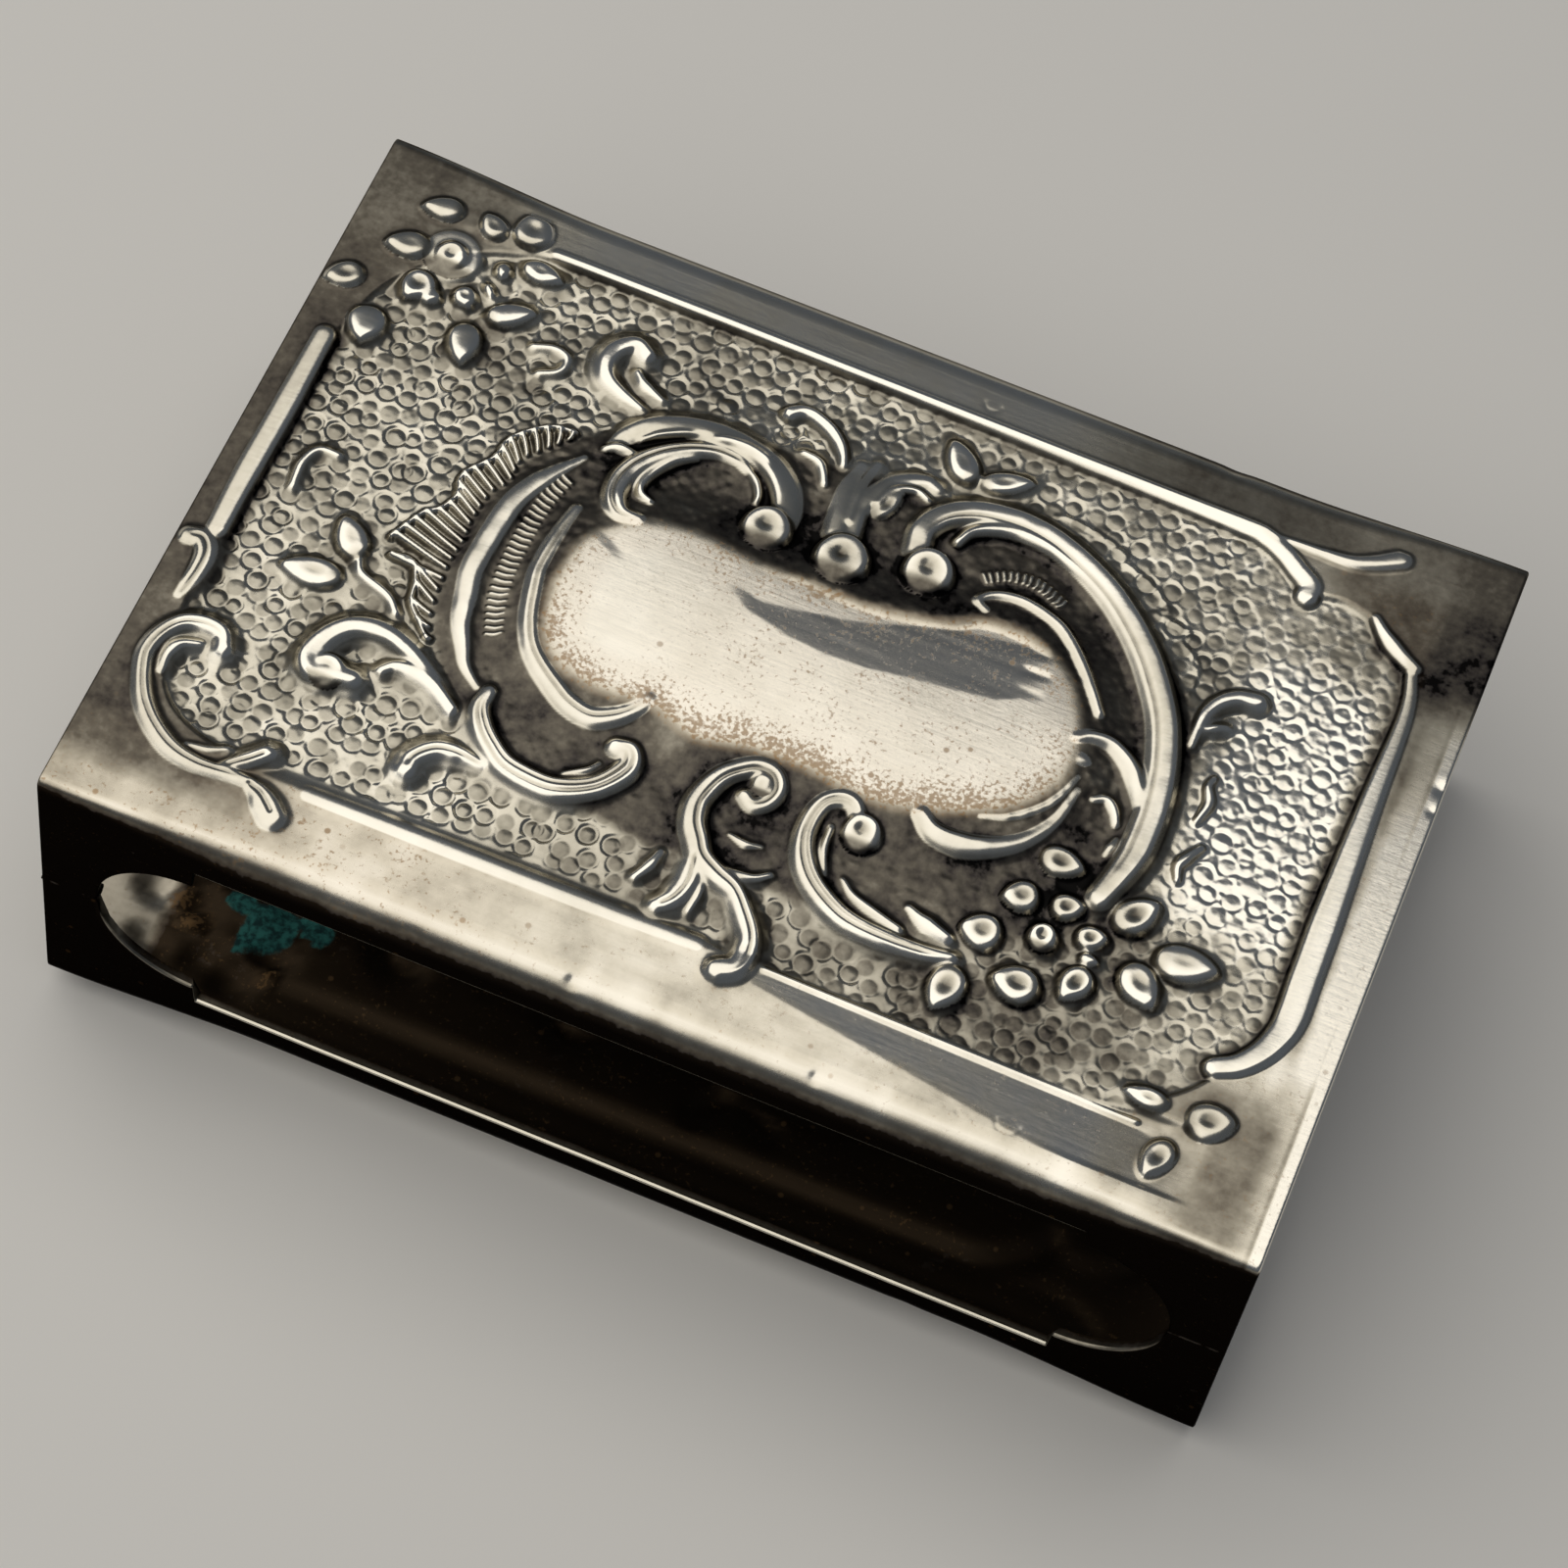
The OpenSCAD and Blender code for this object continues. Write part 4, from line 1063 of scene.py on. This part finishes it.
def shell(name, node, grid, upside_down, rim_wear, material):
    """One struck shell, cut into strips so that no piece is too heavy; the lower one is turned over."""
    place, normal = shell_base(grid)
    height, masks = struck_panel(grid)
    lift = outside_wear(grid, place) - edge_drop(grid, place)
    lift[:, SIDE_ROWS:grid.rows - SIDE_ROWS + 1] += height
    outside = lifted(grid.x_line[:, None], place, normal, lift)
    inside, verdigris, brown = inside_sheet(grid, place, normal, height, upside_down)
    tarnish, stain = finish_masks(grid, height, masks, normal, rim_wear)
    none, few = np.zeros(lift.shape), np.zeros(inside.shape[:2])
    attributes = {
        # the inside: tarnish with painted shade, and painted light near the open left end
        "tarnish": (tarnish, few + INSIDE_TARNISH_AND_SHADE - INSIDE_END_LIGHT * ramp(-24.6, -25.4, inside[..., 0])),
        "stain": (stain, few + INSIDE_STAIN + LUMP_STAIN * brown),
        "within": (none, few + 1.0),
        "verdigris": (none, verdigris),
    }
    turn = np.array([1.0, -1.0, -1.0]) if upside_down else np.ones(3)
    base = np.array([0.0, 0.0, HEIGHT - FACE if upside_down else FACE])
    outside_normals, inside_normals = grid_normals(outside) * turn, -grid_normals(inside) * turn
    outside, inside = outside * turn + base, inside * turn + base
    step = grid.columns // grid.strips
    for k in range(grid.strips):
        fine = slice(k * step, (k + 1) * step + 1)
        coarse = slice(k * step // COARSE, (k + 1) * step // COARSE + 1)
        own = {label: (a[fine], b[coarse]) for label, (a, b) in attributes.items()}
        normals = outside_normals[fine], inside_normals[coarse]
        label = f"{name}_{k + 1}"
        mesh = strip_mesh(label, outside[fine], inside[coarse], *normals, own)
        mesh.materials.append(material)
        piece = bpy.data.objects.new(label, mesh)
        bpy.context.scene.collection.objects.link(piece)
        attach(piece, "root")
        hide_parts(node)


class Wiring:
    """Adds nodes to a shader tree. An input is a value, or the output of another node."""

    def __init__(self, tree):
        self.tree = tree

    def put(self, kind, inputs=None, **settings):
        """A node of any kind, with its inputs by name or number, and its settings."""
        made = self.tree.nodes.new("ShaderNode" + kind)
        for key, value in settings.items():
            setattr(made, key, value)
        self.feed(made, inputs or {})
        return made

    def feed(self, node, inputs):
        """Sets or joins a node's inputs."""
        for key, value in inputs.items():
            if isinstance(value, bpy.types.NodeSocket):
                self.tree.links.new(value, node.inputs[key])
            else:
                node.inputs[key].default_value = value

    def maths(self, operation, a, b, clamp=False):
        """Two values put together."""
        return self.put("Math", {0: a, 1: b}, operation=operation, use_clamp=clamp).outputs[0]

    def add(self, a, b):
        """Sum of two values."""
        return self.maths("ADD", a, b)

    def times(self, a, b, clamp=False):
        """Product of two values, held between 0 and 1 where it is clamped."""
        return self.maths("MULTIPLY", a, b, clamp)

    def noise(self, position, scale, detail=3.0, roughness=0.55):
        """Noise between 0 and 1; a scale of 1000 has grains of about a millimetre."""
        sockets = {"Vector": position, "Scale": scale, "Detail": detail, "Roughness": roughness}
        return self.put("TexNoise", sockets).outputs["Fac"]

    def graded(self, value, low, high):
        """Smooth step of a value from 0 at low to 1 at high."""
        sockets = {"Value": value, "From Min": low, "From Max": high}
        return self.put("MapRange", sockets, interpolation_type="SMOOTHSTEP").outputs["Result"]

    def blended(self, share, a, b):
        """Mix of two colours."""
        return self.put("Mix", {0: share, 6: a, 7: b}, data_type="RGBA").outputs[2]

    def mask(self, name):
        """One of the mesh's own finish masks."""
        return self.put("Attribute", attribute_name=name).outputs["Fac"]


# Tarnish from clean silver to black: share, colour
TARNISH = [
    (0.0, (0.94, 0.91, 0.83)), (0.25, (0.68, 0.643, 0.55)), (0.5, (0.355, 0.332, 0.275)),
    (0.75, (0.136, 0.122, 0.1)), (0.95, (0.045, 0.04, 0.038)), (1.0, (0.006, 0.0057, 0.0057))]
# Colours of the specks, of the dull inside, and the two that mottle the verdigris
SPECK_BROWN = (0.38, 0.23, 0.105, 1)
INSIDE_BROWN = (0.06, 0.045, 0.03, 1)
DEEP_TEAL = (0.006, 0.035, 0.036, 1)
PALE_TEAL = (0.03, 0.16, 0.145, 1)
# At a grazing angle old silver mirrors less than clean metal does, so that black tarnish stays black.
GRAZING_TINT = (0.4, 0.4, 0.4, 1)
SOLDER_TARNISH = 0.97
BUMP_STRENGTH = 0.12
BUMP_HEIGHT = 0.05 * MM


def patina_group():
    """Shared finish of old silver: tarnish that noise breaks up, brown specks, and fine scratches."""
    tree = bpy.data.node_groups.new("patina", "ShaderNodeTree")
    sockets = [
        ("INPUT", "Position", "Vector"), ("INPUT", "Tarnish", "Float"), ("INPUT", "Stain", "Float"),
        ("OUTPUT", "Color", "Color"), ("OUTPUT", "Roughness", "Float"), ("OUTPUT", "Height", "Float")]
    for side, label, kind in sockets:
        tree.interface.new_socket(label, in_out=side, socket_type="NodeSocket" + kind)
    given = tree.nodes.new("NodeGroupInput").outputs
    position, stain = given["Position"], given["Stain"]
    wire = Wiring(tree)

    fleck = wire.noise(position, 2400.0)
    swing = wire.add(wire.times(wire.noise(position, 320.0, 4.0), 0.42), wire.times(fleck, 0.4))
    tarnish = wire.times(given["Tarnish"], wire.add(swing, 0.59), clamp=True)
    shades = wire.put("ValToRGB", {"Fac": tarnish})
    elements = shades.color_ramp.elements
    while len(elements) < len(TARNISH):
        elements.new(0.5)
    for element, (share, colour) in zip(elements, TARNISH):
        element.position = share
        element.color = (*colour, 1.0)

    bloom = wire.times(wire.noise(position, 600.0), 0.35)
    spread = wire.add(wire.times(stain, 0.34), bloom)
    grainy = wire.graded(wire.add(wire.noise(position, 4600.0, 2.0), spread), 0.78, 1.02)
    cells = wire.put("TexVoronoi", {"Vector": position, "Scale": 800.0}).outputs
    chance = wire.put("SeparateColor", {"Color": cells["Color"]}).outputs[0]
    dot = wire.times(wire.graded(cells["Distance"], 0.16, 0.08), wire.graded(chance, 0.7, 0.75))
    spotted = wire.times(wire.maths("MAXIMUM", grainy, dot), wire.times(stain, 6.0, clamp=True), clamp=True)
    tint = wire.maths("MINIMUM", wire.times(stain, 0.7), 0.13)
    browned = wire.maths("MAXIMUM", wire.times(spotted, 0.7), tint)
    brown = wire.blended(browned, shades.outputs["Color"], SPECK_BROWN)

    drawn_out = {"Vector": position, "Rotation": (0, 0, 0.5), "Scale": (0.06, 1.6, 1.0)}
    scratch = wire.noise(wire.put("Mapping", drawn_out).outputs[0], 3800.0, 2.0)
    rough = wire.add(wire.times(tarnish, 0.24), 0.14)
    rough = wire.add(rough, wire.times(spotted, 0.2))
    rough = wire.add(rough, wire.times(scratch, 0.08))
    height = wire.add(wire.times(scratch, 0.35), wire.times(fleck, 0.65))
    wire.feed(tree.nodes.new("NodeGroupOutput"), {"Color": brown, "Roughness": rough, "Height": height})
    return tree


def worn_metal(name, patina, tarnish, stain):
    """A metal that wears the patina. Tarnish and stain are values, or names of the mesh's own masks."""
    material = bpy.data.materials.new(name)
    material.use_nodes = True
    material.node_tree.nodes.clear()
    wire = Wiring(material.node_tree)
    position = wire.put("TexCoord").outputs["Object"]
    tarnish, stain = (wire.mask(given) if isinstance(given, str) else given for given in (tarnish, stain))
    worn = wire.put("Group", node_tree=patina)
    wire.feed(worn, {"Position": position, "Tarnish": tarnish, "Stain": stain})
    worn = worn.outputs
    relief = {"Strength": BUMP_STRENGTH, "Distance": BUMP_HEIGHT, "Height": worn["Height"]}
    surface = wire.put("BsdfPrincipled", {
        "Base Color": worn["Color"], "Metallic": 1.0, "Roughness": worn["Roughness"],
        "Specular Tint": GRAZING_TINT, "Normal": wire.put("Bump", relief).outputs["Normal"]})
    wire.put("OutputMaterial", {"Surface": surface.outputs[0]}, is_active_output=True)
    return material, wire, surface, worn, position


def silver_material(patina):
    """Tarnished silver; brown and dull inside the cover, with a crust of verdigris on its floor."""
    material, wire, surface, worn, position = worn_metal("tarnished_silver", patina, "tarnish", "stain")
    within = wire.mask("within")
    broken = wire.add(wire.noise(position, 1900.0, 6.0, 0.7), 0.45)
    crust = wire.times(wire.mask("verdigris"), broken, clamp=True)
    crust = wire.graded(crust, 0.45, 0.7)
    dull = wire.blended(wire.times(within, 0.3), worn["Color"], INSIDE_BROWN)
    teal = wire.blended(wire.graded(wire.noise(position, 2600.0), 0.35, 0.65), DEEP_TEAL, PALE_TEAL)
    rough = wire.add(worn["Roughness"], wire.times(within, 0.12))
    wire.feed(surface, {
        "Base Color": wire.blended(crust, dull, teal),
        "Roughness": wire.maths("MAXIMUM", rough, wire.times(crust, 0.85)),
        "Metallic": wire.maths("SUBTRACT", 1.0, crust)})
    return material


# Stage, in metres
FLOOR_RADIUS = 3.0
FLOOR_SIDES = 96
FLOOR_COLOUR = (0.86, 0.85, 0.83, 1)
LAMP_SIZE = (1.115, 1.05)
LAMP_PLACE = (-0.44, -0.1, 0.52)
LAMP_TURN = -16.7
LAMP_WATTS = 4.1
LAMP_COLOUR = (1.0, 0.95, 0.86)
ROOM_COLOUR = (0.078, 0.088, 0.104, 1)


def floor_and_light():
    """A pale floor, a wide soft light overhead that leans to the left, and a dim room."""
    floor_mesh = bpy.data.meshes.new("floor")
    ring = np.linspace(0.0, 2 * np.pi, FLOOR_SIDES, endpoint=False)
    rim = np.stack([FLOOR_RADIUS * np.cos(ring), FLOOR_RADIUS * np.sin(ring), 0 * ring], -1)
    floor_mesh.from_pydata(rim.tolist(), [], [list(range(FLOOR_SIDES))])
    floor = bpy.data.objects.new("floor", floor_mesh)
    bpy.context.scene.collection.objects.link(floor)
    material = bpy.data.materials.new("pale_floor")
    material.use_nodes = True
    surface = material.node_tree.nodes["Principled BSDF"]
    surface.inputs["Base Color"].default_value = FLOOR_COLOUR
    surface.inputs["Roughness"].default_value = 0.7
    floor_mesh.materials.append(material)

    lamp = bpy.data.lights.new("overhead", "AREA")
    lamp.shape = "RECTANGLE"
    lamp.size, lamp.size_y = LAMP_SIZE
    lamp.energy = LAMP_WATTS
    lamp.color = LAMP_COLOUR
    overhead = bpy.data.objects.new("overhead", lamp)
    overhead.location = LAMP_PLACE
    overhead.rotation_euler = (0.0, 0.0, np.radians(LAMP_TURN))
    bpy.context.scene.collection.objects.link(overhead)

    world = bpy.data.worlds.new("room")
    world.use_nodes = True
    world.node_tree.nodes["Background"].inputs["Color"].default_value = ROOM_COLOUR
    bpy.context.scene.world = world


# The photograph's view in the cover's frame: place in millimetres, direction, upward axis, and lens
EYE = (25.92, -119.78, 217.15)
LOOKS_ALONG = (-0.107, 0.4951, -0.8622)
UPWARD = (-0.3646, 0.7872, 0.4973)
LENS = 117.39
SENSOR = 36.0


def photo_camera():
    """The camera of the photograph."""
    data = bpy.data.cameras.new("camera")
    data.lens = LENS
    data.sensor_width = SENSOR
    data.clip_start = 0.005
    data.clip_end = 20.0
    camera = bpy.data.objects.new("camera", data)
    forward = Vector(LOOKS_ALONG).normalized()
    right = forward.cross(Vector(UPWARD)).normalized()
    up = right.cross(forward)
    turn = Matrix((right, up, -forward)).transposed().to_4x4()
    camera.matrix_world = Matrix.Translation(Vector(EYE) * MM) @ turn
    bpy.context.scene.collection.objects.link(camera)
    bpy.context.scene.camera = camera


patina = patina_group()
silver = silver_material(patina)
solder, *_ = worn_metal("silver_solder", patina, SOLDER_TARNISH, WALL_STAIN)
shell("upper_shell_strip", "upper_shell", Grid(*UPPER_GRID),
      upside_down=False, rim_wear=0.0, material=silver)
shell("lower_shell_strip", "lower_shell", Grid(*LOWER_GRID),
      upside_down=True, rim_wear=LOWER_END_WEAR, material=silver)
for name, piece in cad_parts.items():
    if name.startswith("solder_seam"):
        piece.data.materials.clear()
        piece.data.materials.append(solder)
floor_and_light()
photo_camera()
bpy.context.scene.view_settings.view_transform = "Standard"
